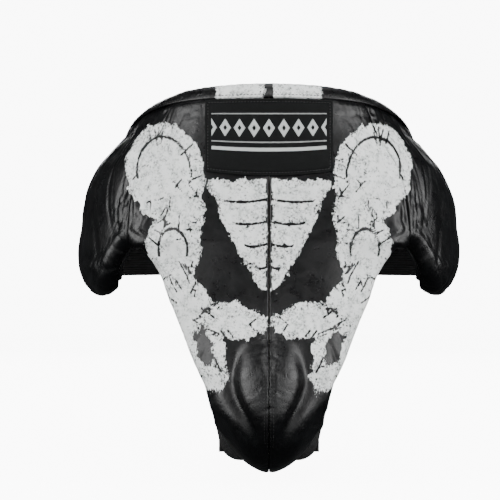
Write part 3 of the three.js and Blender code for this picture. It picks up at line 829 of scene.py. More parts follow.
def painted_cowhide():
    """Black cowhide with hand-brushed off-white leather paint: ragged bristle edges, dark flecks
    where the brush skipped, ink contours, and a duller surface than the bare leather."""
    material, tree, principled, place = shader("painted_cowhide", IOR=1.5, Specular_IOR_Level=0.3)
    at = place.outputs["Object"]
    normal, soft = cowhide_bumps(tree, at)
    bone = add(tree, "ShaderNodeAttribute", attribute_name="bone").outputs["Fac"]
    ink = add(tree, "ShaderNodeAttribute", attribute_name="ink").outputs["Fac"]
    upright = add(tree, "ShaderNodeMapping", {"Vector": at, "Scale": (1.0, 1.0, 0.35)}).outputs["Vector"]

    def cloud(vector, size_mm, detail, rough=0.6):
        return add(tree, "ShaderNodeTexNoise", {
            "Vector": vector, "Scale": per_mm(size_mm), "Detail": detail, "Roughness": rough}).outputs["Fac"]

    bristle, wobble = cloud(upright, 2.0, 4.0, 0.7), cloud(at, 8, 4.0)
    speck, where = cloud(at, 2.4, 6.0, 0.75), cloud(at, 18, 2.0)
    ragged = calculate(tree, "MULTIPLY_ADD", bristle, 9.0, -4.5)
    ragged = calculate(tree, "MULTIPLY_ADD", wobble, 7.0, ragged)
    inside = remap(tree, calculate(tree, "ADD", bone, calculate(tree, "SUBTRACT", ragged, 2.9)), -0.2, 0.25)
    # the brush skips most near the edge of a painted shape
    skipped = calculate(tree, "ADD", remap(tree, bone, 0.0, 9.0, 0.05, 0.0), speck)
    skipped = calculate(tree, "MULTIPLY_ADD", where, 0.20, skipped)
    flecks = remap(tree, skipped, 0.700, 0.735)
    line_width = calculate(tree, "MULTIPLY_ADD", bristle, 3.4, -0.6)
    lined = remap(tree, calculate(tree, "SUBTRACT", ink, line_width), -0.15, 0.3, 1.0, 0.0)
    bare = calculate(tree, "MAXIMUM", lined, flecks)
    cover = calculate(tree, "MULTIPLY", inside, calculate(tree, "SUBTRACT", 1.0, bare))
    dabs = add(tree, "ShaderNodeTexVoronoi", {"Vector": upright, "Scale": per_mm(5.5)}, feature="SMOOTH_F1")
    smudge = remap(tree, cloud(at, 9, 7.0, 0.7), 0.44, 0.60)
    dusty = calculate(tree, "MULTIPLY", smudge, remap(tree, speck, 0.38, 0.6))
    dabbed = calculate(tree, "MULTIPLY", dabs.outputs["Distance"], 0.25)
    thin = calculate(tree, "MULTIPLY_ADD", dusty, 0.85, dabbed)
    paint = blend_colour(tree, thin, colour("paint"), colour("thin_paint"))
    hide = blend_colour(tree, remap(tree, where, 0.35, 0.7), colour("leather"), colour("worn_leather"))
    tree.links.new(blend_colour(tree, cover, hide, paint), principled.inputs["Base Color"])
    leather_rough = remap(tree, soft, 0.3, 0.7, 0.26, 0.40)
    rough = add(tree, "ShaderNodeMix", {0: cover, 2: leather_rough, 3: 0.62}, data_type="FLOAT").outputs[0]
    tree.links.new(rough, principled.inputs["Roughness"])
    tree.links.new(bump(tree, 0.4, 0.25, cover, normal), principled.inputs["Normal"])
    return material


def crossed_threads(tree, at, thread_mm, distortion):
    """Two waves across each other, one for the warp and one for the weft."""
    scale = per_mm(thread_mm) / 6.283 * 2
    return [add(tree, "ShaderNodeTexWave", {"Vector": at, "Scale": scale, "Distortion": distortion},
                bands_direction=way).outputs["Fac"] for way in ("X", "Y")]


def woven(name, thread_mm, deep, lit_crest, roughness=0.75, sheen=0.3, strength=0.6):
    """A plain-woven polyester or nylon cloth: crossed threads on the piece's own map, whose crests
    take a lighter colour as a painted highlight. Finer threads than the render resolves are drawn coarser."""
    material, tree, principled, place = shader(name, Roughness=roughness, Specular_IOR_Level=0.3)
    principled.inputs["Sheen Weight"].default_value = sheen
    at = place.outputs["UV"]
    waves = crossed_threads(tree, at, thread_mm, 0.3)
    cloth = calculate(tree, "MULTIPLY", *waves)
    fuzz = add(tree, "ShaderNodeTexNoise", {
        "Vector": place.outputs["Object"], "Scale": per_mm(3), "Detail": 4.0})
    height = calculate(tree, "MULTIPLY_ADD", fuzz.outputs["Fac"], 0.5, cloth)
    tree.links.new(bump(tree, strength, 0.35, height), principled.inputs["Normal"])
    # painted highlight: where the crossed threads stand highest the colour turns to the lighter one
    tree.links.new(blend_colour(tree, cloth, colour(deep), colour(lit_crest)), principled.inputs["Base Color"])
    return material


def speckled(name, main_colour, mottle, size_mm, roughness, strength=0.3, distance_mm=0.3, **values):
    """A moulded or foamed material: a fine uneven surface with slightly mottled colour."""
    material, tree, principled, place = shader(name, Roughness=roughness, **values)
    at = place.outputs["Object"]
    cells = add(tree, "ShaderNodeTexNoise", {
        "Vector": at, "Scale": per_mm(size_mm), "Detail": 5.0, "Roughness": 0.6})
    broad = add(tree, "ShaderNodeTexNoise", {"Vector": at, "Scale": per_mm(size_mm * 12), "Detail": 3.0})
    tree.links.new(bump(tree, strength, distance_mm, cells.outputs["Fac"]), principled.inputs["Normal"])
    shade = remap(tree, broad.outputs["Fac"], 0.35, 0.7)
    mottled = blend_colour(tree, shade, colour(main_colour), colour(mottle))
    tree.links.new(mottled, principled.inputs["Base Color"])
    return material


MATERIALS = {}


def material_of(name):
    """Each finish is made once, when the first piece needs it."""
    makers = {
        "painted_cowhide": painted_cowhide,
        "black_cowhide": black_cowhide,
        "rolled_binding": lambda: black_cowhide("rolled_binding", 0.46, 0.22, "binding"),
        # quilted nylon taffeta: smooth threads with a satin sheen, and a painted highlight on their crests
        "nylon_taffeta": lambda: woven("nylon_taffeta", 1.1, "lining", "lining_sheen", 0.5, 0.35, 0.35),
        # a damask-woven label: dense satin threads
        "label_damask": label_damask,
        # knitted elastic webbing: ribs along its length are in the mesh, threads in the bump, and a painted
        # highlight on the threads' crests
        "elastic_knit": lambda: woven("elastic_knit", 1.3, "webbing", "webbing_highlight", 0.85, 0.4, 0.7),
        # hook and loop tape: a fuzzy pile, and small stiff hooks, with a painted highlight on the threads'
        # crests
        "loop_pile": lambda: woven("loop_pile", 0.9, "webbing", "webbing_highlight", 0.95, 0.6, 0.9),
        "hook_tape": lambda: woven("hook_tape", 1.6, "webbing", "webbing_highlight", 0.5, 0.0, 1.0),
        # closed-cell EVA foam: matte and warm grey with a fine skin
        "eva_foam": lambda: speckled("eva_foam", "foam", "foam_shade", 1.6, 0.9, 0.35, 0.4),
        # moulded polypropylene: pale, slightly waxy
        "polypropylene": lambda: speckled("polypropylene", "cup", "cup_shade", 4, 0.38, 0.1, 0.1),
        "rim_rubber": lambda: speckled("rim_rubber", "rubber", "thread", 1.2, 0.75, 0.3, 0.15),
        # bonded polyester sewing thread, black with a slight shine
        "black_thread": lambda: speckled("black_thread", "thread", "rubber", 0.6, 0.5, 0.3, 0.1),
    }
    if name not in MATERIALS:
        MATERIALS[name] = makers[name]()
    return MATERIALS[name]


def label_damask():
    """Damask label: black satin ground with a woven band of white lozenges and a pale line."""
    material, tree, principled, place = shader("label_damask", Roughness=0.7, Specular_IOR_Level=0.15)
    at = place.outputs["UV"]
    thread = crossed_threads(tree, at, 0.9, 0.2)
    cloth = calculate(tree, "MULTIPLY", *thread)
    ragged = calculate(tree, "MULTIPLY_ADD", thread[0], 0.5, -0.25)
    motif = add(tree, "ShaderNodeAttribute", attribute_name="motif").outputs["Fac"]
    shown = remap(tree, calculate(tree, "ADD", motif, ragged), -0.12, 0.22)
    ground = blend_colour(tree, cloth, colour("label_ground"), colour("worn_leather"))
    figure = blend_colour(tree, cloth, colour("thin_paint"), colour("label_figure"))
    tree.links.new(blend_colour(tree, shown, ground, figure), principled.inputs["Base Color"])
    height = calculate(tree, "MULTIPLY_ADD", shown, 0.8, cloth)
    tree.links.new(bump(tree, 0.45, 0.3, height), principled.inputs["Normal"])
    return material


# ---- leather skins
WELT_TURN = 116  # degrees round the rolled edge, where the leather meets the facing
ROLL_STEPS = 20
SKIN_STEP = 1.6  # millimetres between the skin's grid lines
FRONT_FACING = 90  # degrees round the oval: past here no paint lies on a wing
BARE = -20.0  # a distance well outside the paint
BINDING_STITCH = (3.6, 2.5)  # spacing and length of the stitches that hold a binding


def edge_run():
    """Distance along the inset line from the tail of the keel, and its value at the corner."""
    on_front, on_ring = front_point(EDGE_ANGLE, EDGE_DOWN), ring_point(EDGE_ANGLE, EDGE_DOWN)
    at = np.where(EDGE_SURFACE_FRONT[:, None], on_front, on_ring)
    run = np.concatenate([[0], np.cumsum(np.linalg.norm(np.diff(at, axis=0), axis=1))])
    return run, float(run[SPLIT])


EDGE_RUN, CORNER_RUN = edge_run()


def roll_relief(run, past, side):
    """Gathers on the rolled edge, deeper past the corner of the arch."""
    amount = mix(0.3, 1.1, smooth(CORNER_RUN - 35, CORNER_RUN + 30, run))
    return edge_gathers(run, past, side, amount)


def stack_at(run):
    """Whole thickness of the padded edge at a distance along it."""
    return mix(FRONT_STACK, WING_STACK, smooth(CORNER_RUN - 22, CORNER_RUN + 22, run))


def front_sections(down):
    """Where the front's roll begins: points, normals, ways out, and distances along it."""
    reach, out = front_edge(down)
    run = np.interp(down, *monotone(EDGE_DOWN[:SPLIT + 1], EDGE_RUN[:SPLIT + 1]))
    return front_point(reach, down), normal_on(front_point, reach, down), out, run


def wing_sections(angle):
    """The same for a wing's roll."""
    reach, out = wing_edge(angle)
    run = np.interp(angle, *monotone(EDGE_ANGLE[SPLIT - 1:], EDGE_RUN[SPLIT - 1:]))
    return ring_point(angle, reach), normal_on(ring_point, angle, reach), out, run


def roll_theta(count=ROLL_STEPS):
    """Turns round the rolled edge that the leather covers."""
    return np.linspace(0, WELT_TURN, count + 1)[1:]


def crease_seam(angle):
    """Depth of the seam that joins the front to a wing."""
    return 0.7 * np.exp(-(((angle - CREASE) * FRONT_PER_DEGREE / 1.2) ** 2))


def front_skin(side):
    """One painted leather half of the front, with the rolled edge of its leg opening."""
    name = f"front_leather_{side_name(side)}"
    upper = np.linspace(INSET - 5, CORNER_DOWN, round((CORNER_DOWN - INSET) / SKIN_STEP))
    lower = np.linspace(CORNER_DOWN, KEEL_LENGTH, round((KEEL_LENGTH - CORNER_DOWN) / SKIN_STEP))[1:]
    down = np.concatenate([upper, lower])
    reach, _ = front_edge(down)
    share = np.linspace(0, 1, 88)
    angle = 0.05 + share[None, :] * (reach[:, None] - 0.1)
    dropped = down[:, None] + rim_drop(angle) * (1 - smooth(INSET, 90, down))[:, None]
    normal = normal_on(front_point, angle, dropped)
    flat = front_point(angle, dropped)
    relief = front_relief(angle, dropped, side) - crease_seam(angle) * (down <= CORNER_DOWN)[:, None]
    lift = settled(flat, normal, 4, sizes("puff")) * smooth(0, 0.12, share) * (1 - smooth(0.9, 1, share))
    loose = smooth(95, 120, down) * (1 - smooth(190, 235, down))  # drawn tight over the cup
    points = flat + normal * (relief + lift * loose[:, None])[..., None]
    begin, facing, out, run = front_sections(down)
    theta = roll_theta()
    roll, roll_normal = rolled(begin, facing, out, stack_at(run), theta, stands=0.6)
    past = theta / 180 * math.pi * 11
    handover = relief[:, -1:] * (1 - smooth(0, 45, theta))[None, :]
    roll += roll_normal * (handover + roll_relief(run[:, None], past[None, :], side))[..., None]
    points = np.concatenate([points, roll], 1)
    flat = np.concatenate([flat, roll], 1)
    normals = np.concatenate([normal, roll_normal], 1)
    keep = np.ones((points.shape[0] - 1, points.shape[1] - 1), bool)
    first_rolled = len(upper) - 1
    keep[:first_rolled, len(share) - 1:] = False
    bone, ink = motif_distance(flat[..., 0], flat[..., 2])
    obj = grid_mesh(name, sided(points, side), sided(normals, side), keep, {"bone": bone, "ink": ink})
    wall(obj, sizes("leather_wall"))
    return finish_piece(obj, "root", "painted_cowhide", [name])


def wing_span():
    """Columns round a wing, and how many of them lie past the rear binding's inset line."""
    last = WING_END - math.degrees(INSET / HIP_HALF) * 1.02
    body = np.linspace(CREASE + 0.05, last, round((last - CREASE) * WING_PER_DEGREE / SKIN_STEP))
    tail = last + (WING_END - last) * np.sin(np.linspace(0, math.pi / 2, 9)[1:])
    return body, tail


def tip_taper(angle, last):
    """How the rolled edge closes at the wing's rear tip."""
    t = np.clip((angle - last) / (WING_END - last), 0, 1)
    return np.sqrt(np.maximum(1 - t**2, 0.0004))


def wing_skin(side):
    """The leather of one wing, down to and round its rolled lower edge."""
    name = f"wing_leather_{side_name(side)}"
    body, tail = wing_span()
    angle = np.concatenate([body, tail])
    reach, _ = wing_edge(angle)
    share = np.linspace(0, 1, 118)
    top = rim_drop(angle) + INSET - 5
    down = top[None, :] + share[:, None] * (reach - top)[None, :]
    across = np.broadcast_to(angle, down.shape)
    flat, normal = ring_point(across, down), normal_on(ring_point, across, down)
    relief = wing_relief(across, down, side) * (1 - smooth(110, 117, across)) - crease_seam(across)
    begin, facing, out, run = wing_sections(angle)
    inset_past = down - reach[None, :]
    relief += roll_relief(run[None, :], inset_past, side) * smooth(-24, 0, inset_past)
    lift = 0.7 * settled(flat[:, :len(body)], normal[:, :len(body)], 4, sizes("puff"))
    lift = np.concatenate([lift, np.zeros((len(share), len(tail)))], 1)
    points = flat + normal * (relief + lift)[..., None]
    theta = roll_theta()
    roll, roll_normal = rolled(begin, facing, out, stack_at(run), theta, stands=0.6)
    past = theta / 180 * math.pi * 12
    handover = (relief[-1] - roll_relief(run, 0 * run, side))[:, None] * (1 - smooth(0, 45, theta))[None, :]
    roll += roll_normal * (handover + roll_relief(run[:, None], past[None, :], side))[..., None]
    centre = begin - facing * stack_at(run)[:, None] / 2
    close = tip_taper(angle, body[-1])[:, None, None]
    roll = centre[:, None, :] + (roll - centre[:, None, :]) * close
    points = np.concatenate([points, np.swapaxes(roll, 0, 1)], 0)
    normals = np.concatenate([normal, np.swapaxes(roll_normal, 0, 1)], 0)
    keep = np.ones((points.shape[0] - 1, points.shape[1] - 1), bool)
    keep[:len(share), len(body) - 1:] = False
    roll_flat = np.swapaxes(np.broadcast_to(begin[:, None, :], roll.shape), 0, 1)
    flat = np.concatenate([flat, roll_flat], 0)
    bone, ink = motif_distance(flat[..., 0], flat[..., 2])
    bone = np.where(across[:1] < FRONT_FACING, bone, BARE)
    obj = grid_mesh(name, sided(points, side), sided(normals, side), keep, {"bone": bone, "ink": ink})
    wall(obj, sizes("leather_wall"))
    return finish_piece(obj, "root", "painted_cowhide", [name])


# ---- bindings, facings and welts
def leg_facing(side):
    """The facing strip behind the rolled edge of the leg opening, and the welt that joins it."""
    name = f"leg_binding_{side_name(side)}"
    down = np.linspace(KEEL_LENGTH, CORNER_DOWN, 210)
    body, tail = wing_span()
    angle = np.concatenate([body[::2], tail])
    parts = [front_sections(down), wing_sections(angle)]
    begin, facing, out, run = (np.concatenate([a, b]) for a, b in zip(*parts))
    close = np.concatenate([np.ones(len(down)), tip_taper(angle, body[-1])])[:, None, None]
    theta = np.linspace(WELT_TURN - 3, 186, 16)
    centre = (begin - facing * stack_at(run)[:, None] / 2)[:, None, :]

    def strip(turns, lift):
        point, normal = rolled(begin, facing, out, stack_at(run), turns, stands=0.6)
        return centre + (point + normal * lift - centre) * close, normal

    past = (theta / 180 * math.pi * 12)[None, :]
    fade = 1 - smooth(WELT_TURN, 172, theta)[None, :]
    lift = (roll_relief(run[:, None], past, side) * fade * 0.8 - 0.5)[..., None]
    point, normal = strip(theta, lift)
    obj = grid_mesh(name, sided(point, side), sided(normal, side))
    wall(obj, 1.3)
    finish_piece(obj, "root", "rolled_binding", [name])
    line, _ = strip(np.array([float(WELT_TURN)]), 0.1)
    welt = tube(f"leg_welt_{side_name(side)}", sided(line[:, 0], side), sizes("welt_radius"), 8)
    finish_piece(welt, "root", "rolled_binding")
    seat, seat_normal = strip(np.array([WELT_TURN - 14.0]), 0.15)
    stitches(f"leg_stitching_{side_name(side)}", sided(seat[:, 0], side), sided(seat_normal[:, 0], side),
             *BINDING_STITCH, "root", "edge_binding")


def tube(name, line, radius, sides, flatten=1.0):
    """A round cord along a line of points in millimetres, closed at its ends."""
    tangent = unit(np.gradient(line, axis=0))
    up = unit(np.cross(tangent, np.array([0.3, 0.2, 1.0])))
    other = np.cross(tangent, up)
    turn = np.linspace(0, 2 * math.pi, sides, endpoint=False)[None, :, None]
    size = np.full(len(line), float(radius))
    size[[0, -1]] = 0.05
    size = size[:, None, None]
    facing = up[:, None] * np.cos(turn) + other[:, None] * np.sin(turn) * flatten
    return grid_mesh(name, line[:, None] + facing * size, facing, ring=True)


def waist_roll():
    """The padded roll round the waist, painted where the motif runs over it, and its stitches."""
    angle = np.linspace(-WING_END, WING_END, 420)
    away = np.abs(angle)
    down = rim_drop(away) + INSET
    begin = ring_point(angle, down)
    facing = normal_on(ring_point, angle, down)
    out = ring_point(angle, down - 1) - begin
    wing = smooth(CREASE - 4, CREASE + 8, away)
    stack = mix(FRONT_STACK, WING_STACK, wing)
    theta = np.linspace(-6, 186, 34)
    point, normal = rolled(begin, facing, out, stack, theta, stands=1.0)
    ripple = 0.35 * creases((angle * FRONT_PER_DEGREE / 9)[:, None], (theta / 60)[None, :], 121, 0.3)
    ripple += 0.25 * noise((angle * FRONT_PER_DEGREE / 23)[:, None], (theta / 50)[None, :], 123)
    point += normal * (ripple * np.sin(np.radians(np.clip(theta, 0, 180)))[None, :] ** 0.5)[..., None]
    centre = (begin - facing * stack[:, None] / 2)[:, None, :]
    close = np.sqrt(np.maximum(1 - np.clip((away - WING_END + 3.5) / 3.5, 0, 1) ** 2, 0.0004))
    point = centre + (point - centre) * close[:, None, None]
    bone, _ = motif_distance(point[..., 0], np.full(point.shape[:2], -3.0))
    bone = np.where(point[..., 1] < 0, bone, BARE)
    ink = np.full(bone.shape, 20.0)
    obj = grid_mesh("waist_binding", point, normal, attributes={"bone": bone, "ink": ink})
    wall(obj, 1.4)
    finish_piece(obj, "root", "painted_cowhide", ["waist_binding"])
    row, row_normal = rolled(begin, facing, out, stack, np.array([5.0]), stands=1.15)
    inner = slice(12, -12)
    stitches("waist_stitching", row[inner, 0], row_normal[inner, 0], *BINDING_STITCH, "root", "edge_binding")


def rear_roll(side):
    """The rolled rear edge of a wing and its stitches."""
    name = f"rear_binding_{side_name(side)}"
    last = wing_span()[0][-1]
    down = np.linspace(rim_drop(WING_END) + 9, wing_lower_edge(WING_END) - 8, 90)
    angle = np.full(len(down), last)
    begin, facing = ring_point(angle, down), normal_on(ring_point, angle, down)
    out = ring_point(angle + 0.5, down) - begin
    theta = np.linspace(-6, 186, 30)
    stack = np.full(len(down), float(WING_STACK))
    point, normal = rolled(begin, facing, out, stack, theta, reach=INSET - 0.4, stands=0.8)
    share = np.linspace(-1, 1, len(down))
    centre = (begin - facing * stack[:, None] / 2)[:, None, :]
    close = np.sqrt(np.maximum(1 - np.clip((np.abs(share) - 0.9) / 0.1, 0, 1) ** 2, 0.0004))
    point = centre + (point - centre) * close[:, None, None]
    point += normal * (0.3 * creases((down / 9)[:, None], (theta / 70)[None, :], 131, 0.3))[..., None]
    obj = grid_mesh(name, sided(point, side), sided(normal, side))
    wall(obj, 1.4)
    finish_piece(obj, "root", "rolled_binding", [name])
    row, row_normal = rolled(begin, facing, out, stack, np.array([4.0]), stands=1.0)
    stitches(f"rear_stitching_{side_name(side)}", sided(row[6:-6, 0], side), sided(row_normal[6:-6, 0], side),
             *BINDING_STITCH, "root", "edge_binding")


def tail_closure():
    """The leather that closes the keel's cut end and joins it to the crotch tab."""
    down = np.array([KEEL_LENGTH])
    reach, _ = front_edge(down)
    angle = np.linspace(0, reach[0], 20)
    facing = normal_on(front_point, angle, np.full(20, KEEL_LENGTH))
    outer = front_point(angle, np.full(20, KEEL_LENGTH)) + facing * 0.5
    begin, normal, out, run = front_sections(down)
    roll = rolled(begin, normal, out, stack_at(run), np.linspace(8, 172, 20), stands=1.1)[0][0]
    half = np.concatenate([outer[1:], roll, (outer - facing * (FRONT_STACK + 1))[:0:-1]])
    loop = np.concatenate([half, sided(half[::-1], -1)])
    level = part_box("crotch_tab")[0].y / MM
    middle = loop.mean(0)

    def ring_at(share, y):
        place = middle + (loop - middle) * share
        place[:, 1] = y if np.isscalar(y) else y + 0 * place[:, 1]
        return place

    rings = [ring_at(0.96, loop[:, 1] - 7), ring_at(1.0, loop[:, 1] - 5), ring_at(1.0, loop[:, 1] - 1.5)]
    rings += [ring_at(share, level + past) for share, past in (
        (1.0, -1.6), (0.985, -0.5), (0.94, 0.1), (0.6, 0.1), (0.02, 0.1))]
    obj = grid_mesh("tail_closure", np.stack(rings), ring=True)
    merge_doubles(obj)
    face_outwards(obj)
    finish_piece(obj, "root", "rolled_binding")


# ---- stitches
def stitch_shape():
    """One stitch, a small thread capsule, as vertices and faces of unit length and width."""
    bpy.ops.object.select_all(action="DESELECT")
    bpy.ops.mesh.primitive_uv_sphere_add(segments=6, ring_count=4, radius=0.5)
    obj = bpy.context.object
    shape = mesh_points(obj)
    faces = [list(f.vertices) for f in obj.data.polygons]
    bpy.data.objects.remove(obj)
    return shape, faces


STITCH = stitch_shape()


def read_rows(at, run, rows):
    """Reads points at given distances, between rows that lie at the distances in `run`."""
    return np.stack([np.interp(at, run, rows[:, k]) for k in range(3)], -1)


def evenly(line, facing, spacing):
    """Evenly spaced places on a line, with the way each one faces and the way ahead."""
    run = np.concatenate([[0], np.cumsum(np.linalg.norm(np.diff(line, axis=0), axis=1))])
    at = np.arange(spacing / 2, run[-1], spacing)
    ahead = read_rows(at + 0.5, run, line) - read_rows(at - 0.5, run, line)
    return read_rows(at, run, line), unit(read_rows(at, run, facing)), unit(ahead)


def stitches(name, line, facing, spacing, length, body, slot, width=None):
    """A row of stitches along a line, in millimetres, lying on a surface that faces `facing`."""
    place, up, along = evenly(line, facing, spacing)
    up = unit(up - along * np.sum(up * along, -1, keepdims=True))
    side = np.cross(up, along)
    shape, faces = STITCH
    width = width or sizes("thread_width")
    size = shape * np.array([width, width * 0.8, length])
    points = (place[:, None] + size[None, :, 0:1] * side[:, None] + size[None, :, 1:2] * up[:, None]
              + size[None, :, 2:3] * along[:, None])
    mesh = bpy.data.meshes.new(name)
    count = len(shape)
    joined = [[v + i * count for v in face] for i in range(len(place)) for face in faces]
    mesh.from_pydata((points.reshape(-1, 3) * MM).tolist(), [], joined)
    mesh.shade_smooth()
    obj = linked(name, mesh)
    face_outwards(obj)
    return finish_piece(obj, body, "black_thread")


# ---- label
def label_motif(across, down):
    """Signed distance to a plain woven band: a row of lozenges between two thin lines."""
    pitch, half_height = 13.5, 8.5
    row = np.abs(down - 27)
    cell = np.abs((across + pitch * 50.5) % pitch - pitch / 2)
    lozenge = (1 - cell / (pitch * 0.40) - row / half_height) * 4.2
    lozenge = np.where(np.abs(across) < pitch * 4, lozenge, -5)
    hollow = (cell / 1.8 + row / 2.9 - 1) * 1.6
    lozenge = np.minimum(lozenge, hollow)
    lines = np.maximum(0.45 - np.abs(down - 14.0), 0.45 - np.abs(down - 40.0))
    bar = 1.6 - np.abs(down - 46.5)
    rules = np.minimum(np.maximum(lines, bar), 54 - np.abs(across))
    return np.maximum(lozenge, rules)


LABEL_MARGIN = 3.0  # from the label's edge to its stitches


def label_place(u, v):
    """Angles and distances down of places on the label, from shares of its width and height."""
    down = LABEL_TOP + LABEL_HEIGHT * v
    half = np.degrees(np.arcsin(LABEL_WIDTH / 2 / ring_half_width(down)))
    return mix(-half, half, u), down + LABEL_SAG * (1 - (2 * u - 1) ** 2) * v


def label():
    """The woven label on the belly and the stitches round it."""
    rows, columns = 84, 140
    u, v = np.meshgrid(np.linspace(0, 1, columns), np.linspace(0, 1, rows))
    angle, down = label_place(u, v)
    border = np.minimum(np.minimum(u, 1 - u) * LABEL_WIDTH, np.minimum(v, 1 - v) * LABEL_HEIGHT)
    lift = 2.1 - 0.75 * np.exp(-((border - LABEL_MARGIN) ** 2)) + 0.5 * smooth(3, 12, border)
    lift = lift + 0.35 * noise(u * 5, v * 4, 141) + 0.3 * noise(u * 14, v * 8, 142)
    lift = lift - 0.5 * (1 - smooth(0, 1.6, border))
    normal = normal_on(front_point, angle, down)
    across = (u - 0.5) * LABEL_WIDTH
    point = front_point(angle, down) + normal * lift[..., None]
    motif = label_motif(across, v * LABEL_HEIGHT)
    obj = grid_mesh("label_patch", point, normal, attributes={"motif": motif},
                    uv=np.stack([across, v * LABEL_HEIGHT], -1))
    wall(obj, 1.0)
    finish_piece(obj, "root", "label_damask", ["label_patch"])
    turns = []
    in_u, in_v = LABEL_MARGIN / LABEL_WIDTH, LABEL_MARGIN / LABEL_HEIGHT
    for fixed, start, end in (("v", 0, 1), ("u", 0, 1), ("v", 1, 0), ("u", 1, 0)):
        run = np.linspace(start, end, 60)[:-1]
        near, far = (in_v, in_u) if fixed == "v" else (in_u, in_v)
        along = mix(far, 1 - far, run)
        level = np.full(len(run), near if (fixed == "v") == (start == 0) else 1 - near)
        turns.append(np.stack([along, level] if fixed == "v" else [level, along], -1))
    turns[1][:, 0], turns[3][:, 0] = 1 - in_u, in_u
    path = np.vstack(turns + [turns[0][:1]])
    angle, down = label_place(path[:, 0], path[:, 1])
    facing = normal_on(front_point, angle, down)
    seat = front_point(angle, down) + facing * 1.6
    stitches("label_stitching", seat, facing, 3.0, 2.2, "root", "woven_label")


# ---- padding, cup and linings
def slab(name, outer, inner):
    """A closed solid between an outer and an inner grid of points in millimetres."""
    rows, columns = outer.shape[:2]
    index = np.arange(rows * columns).reshape(rows, columns)
    quads = np.stack([index[:-1, :-1], index[:-1, 1:], index[1:, 1:], index[1:, :-1]], -1).reshape(-1, 4)
    loop = np.concatenate([index[0, :-1], index[:-1, -1], index[-1, :0:-1], index[:0:-1, 0]])
    after = np.roll(loop, -1)
    back = rows * columns
    sides = np.stack([loop, loop + back, after + back, after], -1)
    faces = np.concatenate([quads, quads[:, ::-1] + back, sides])
    mesh = bpy.data.meshes.new(name)
    place = np.concatenate([outer.reshape(-1, 3), inner.reshape(-1, 3)]) * MM
    mesh.from_pydata(place.tolist(), [], faces.tolist())
    obj = linked(name, mesh)
    face_outwards(obj)
    mesh.shade_smooth()
    return obj


def edit_whole(obj, operator, **settings):
    """Runs one edit-mode operator on the whole of a mesh."""
    only(obj)
    bpy.ops.object.mode_set(mode="EDIT")
    bpy.ops.mesh.select_all(action="SELECT")
    operator(**settings)
    bpy.ops.object.mode_set(mode="OBJECT")


def face_outwards(obj):
    """Turns the faces of a closed mesh outwards."""
    edit_whole(obj, bpy.ops.mesh.normals_make_consistent, inside=False)


def merge_doubles(obj):
    """Joins the vertices that lie on each other."""
    edit_whole(obj, bpy.ops.mesh.remove_doubles, threshold=0.02 * MM)


def soften(obj, width, segments=2):
    """Rounds a padded piece's sharp rim."""
    apply_modifier(obj, "BEVEL", width=width * MM, segments=segments, limit_method="ANGLE",
                   angle_limit=math.radians(50))
    obj.data.shade_smooth()


def front_field(start, end, step=5.0):
    """A grid of angles and distances down over the whole front, out to its inset line."""
    down = np.linspace(start, end, round((end - start) / step) + 1)
    reach, _ = front_edge(down)
    share = np.linspace(-1, 1, 61)
    angle = share[None, :] * reach[:, None]
    dropped = down[:, None] + rim_drop(np.abs(angle)) * (1 - smooth(INSET, 90, down))[:, None]
    return angle, dropped


def padding(name, surface, angle, down, outer, inner, side=1):
    """A foam pad between two depths under a surface."""
    facing = normal_on(surface, angle, down)
    points = surface(angle, down)
    outside = points - facing * np.broadcast_to(outer, angle.shape)[..., None]
    inside = points - facing * np.broadcast_to(inner, angle.shape)[..., None]
    obj = slab(name, sided(outside, side), sided(inside, side))
    soften(obj, 1.2)
    finish_piece(obj, "root", "eva_foam", [name])
    return obj


CUP_TOP = CUP_MIDDLE - CUP_HALF_LENGTH - 18
FOAM_TOP = 3.4  # depth of the foam's outer face: the leather and its deepest folds lie above it
LINING_ROOM = 3.0  # the foam stops this far short of the whole stack
COVER_OUTER, COVER_INNER = 3.0, 9.6  # depths of the pad over the cup
CUP_OUTER, CUP_INNER = 9.9, 12.9
CUSHION_OUTER, CUSHION_INNER = 13.2, 14.5
RIM_DEPTH, RIM_HALF_DEPTH = 11.4, 2.2  # the rubber edge on the cup
POCKET = 1.28  # the cup's pocket in the roll, as a share of the cup's outline


def cup_outline(turn, size):
    """Angles and distances down of an oval round the cup."""
    return CUP_HALF_ANGLE * size * np.cos(turn), CUP_MIDDLE + CUP_HALF_LENGTH * size * np.sin(turn)


def cup_field(size, columns=33, rows=45):
    """A grid over the cup's outline, with its corners rounded into an ellipse."""
    x, y = np.meshgrid(np.linspace(-1, 1, columns), np.linspace(-1, 1, rows))
    across, along = x * np.sqrt(1 - y * y / 2), y * np.sqrt(1 - x * x / 2)
    return CUP_HALF_ANGLE * size * across, CUP_MIDDLE + CUP_HALF_LENGTH * size * along


def front_sink(angle, down):
    """How deep the leather's shaped relief presses the foam's outer face."""
    return FOAM_TOP - np.minimum(cup_relief(front_point(angle, down)[..., 0], down), 0)


def body_foams():
    """The belly pad and the two wing pads."""
    angle, down = front_field(INSET + 1, CUP_TOP - 1)
    padding("belly_foam", front_point, angle, down, front_sink(angle, down), FRONT_STACK - LINING_ROOM)
    body, _ = wing_span()
    for side in (1, -1):
        columns = np.linspace(CREASE + 0.2, body[-1] - 0.3, 50)
        reach, _ = wing_edge(columns)
        share = np.linspace(0, 1, 44)[:, None]
        top = rim_drop(columns) + INSET + 1
        down = top + share * (reach - 1 - top)
        angle = np.broadcast_to(columns, down.shape)
        inner = mix(FRONT_STACK, WING_STACK, smooth(CREASE, CREASE + 8, angle)) - LINING_ROOM
        padding(f"wing_foam_{side_name(side)}", ring_point, angle, down, FOAM_TOP + 0.6, inner, side)


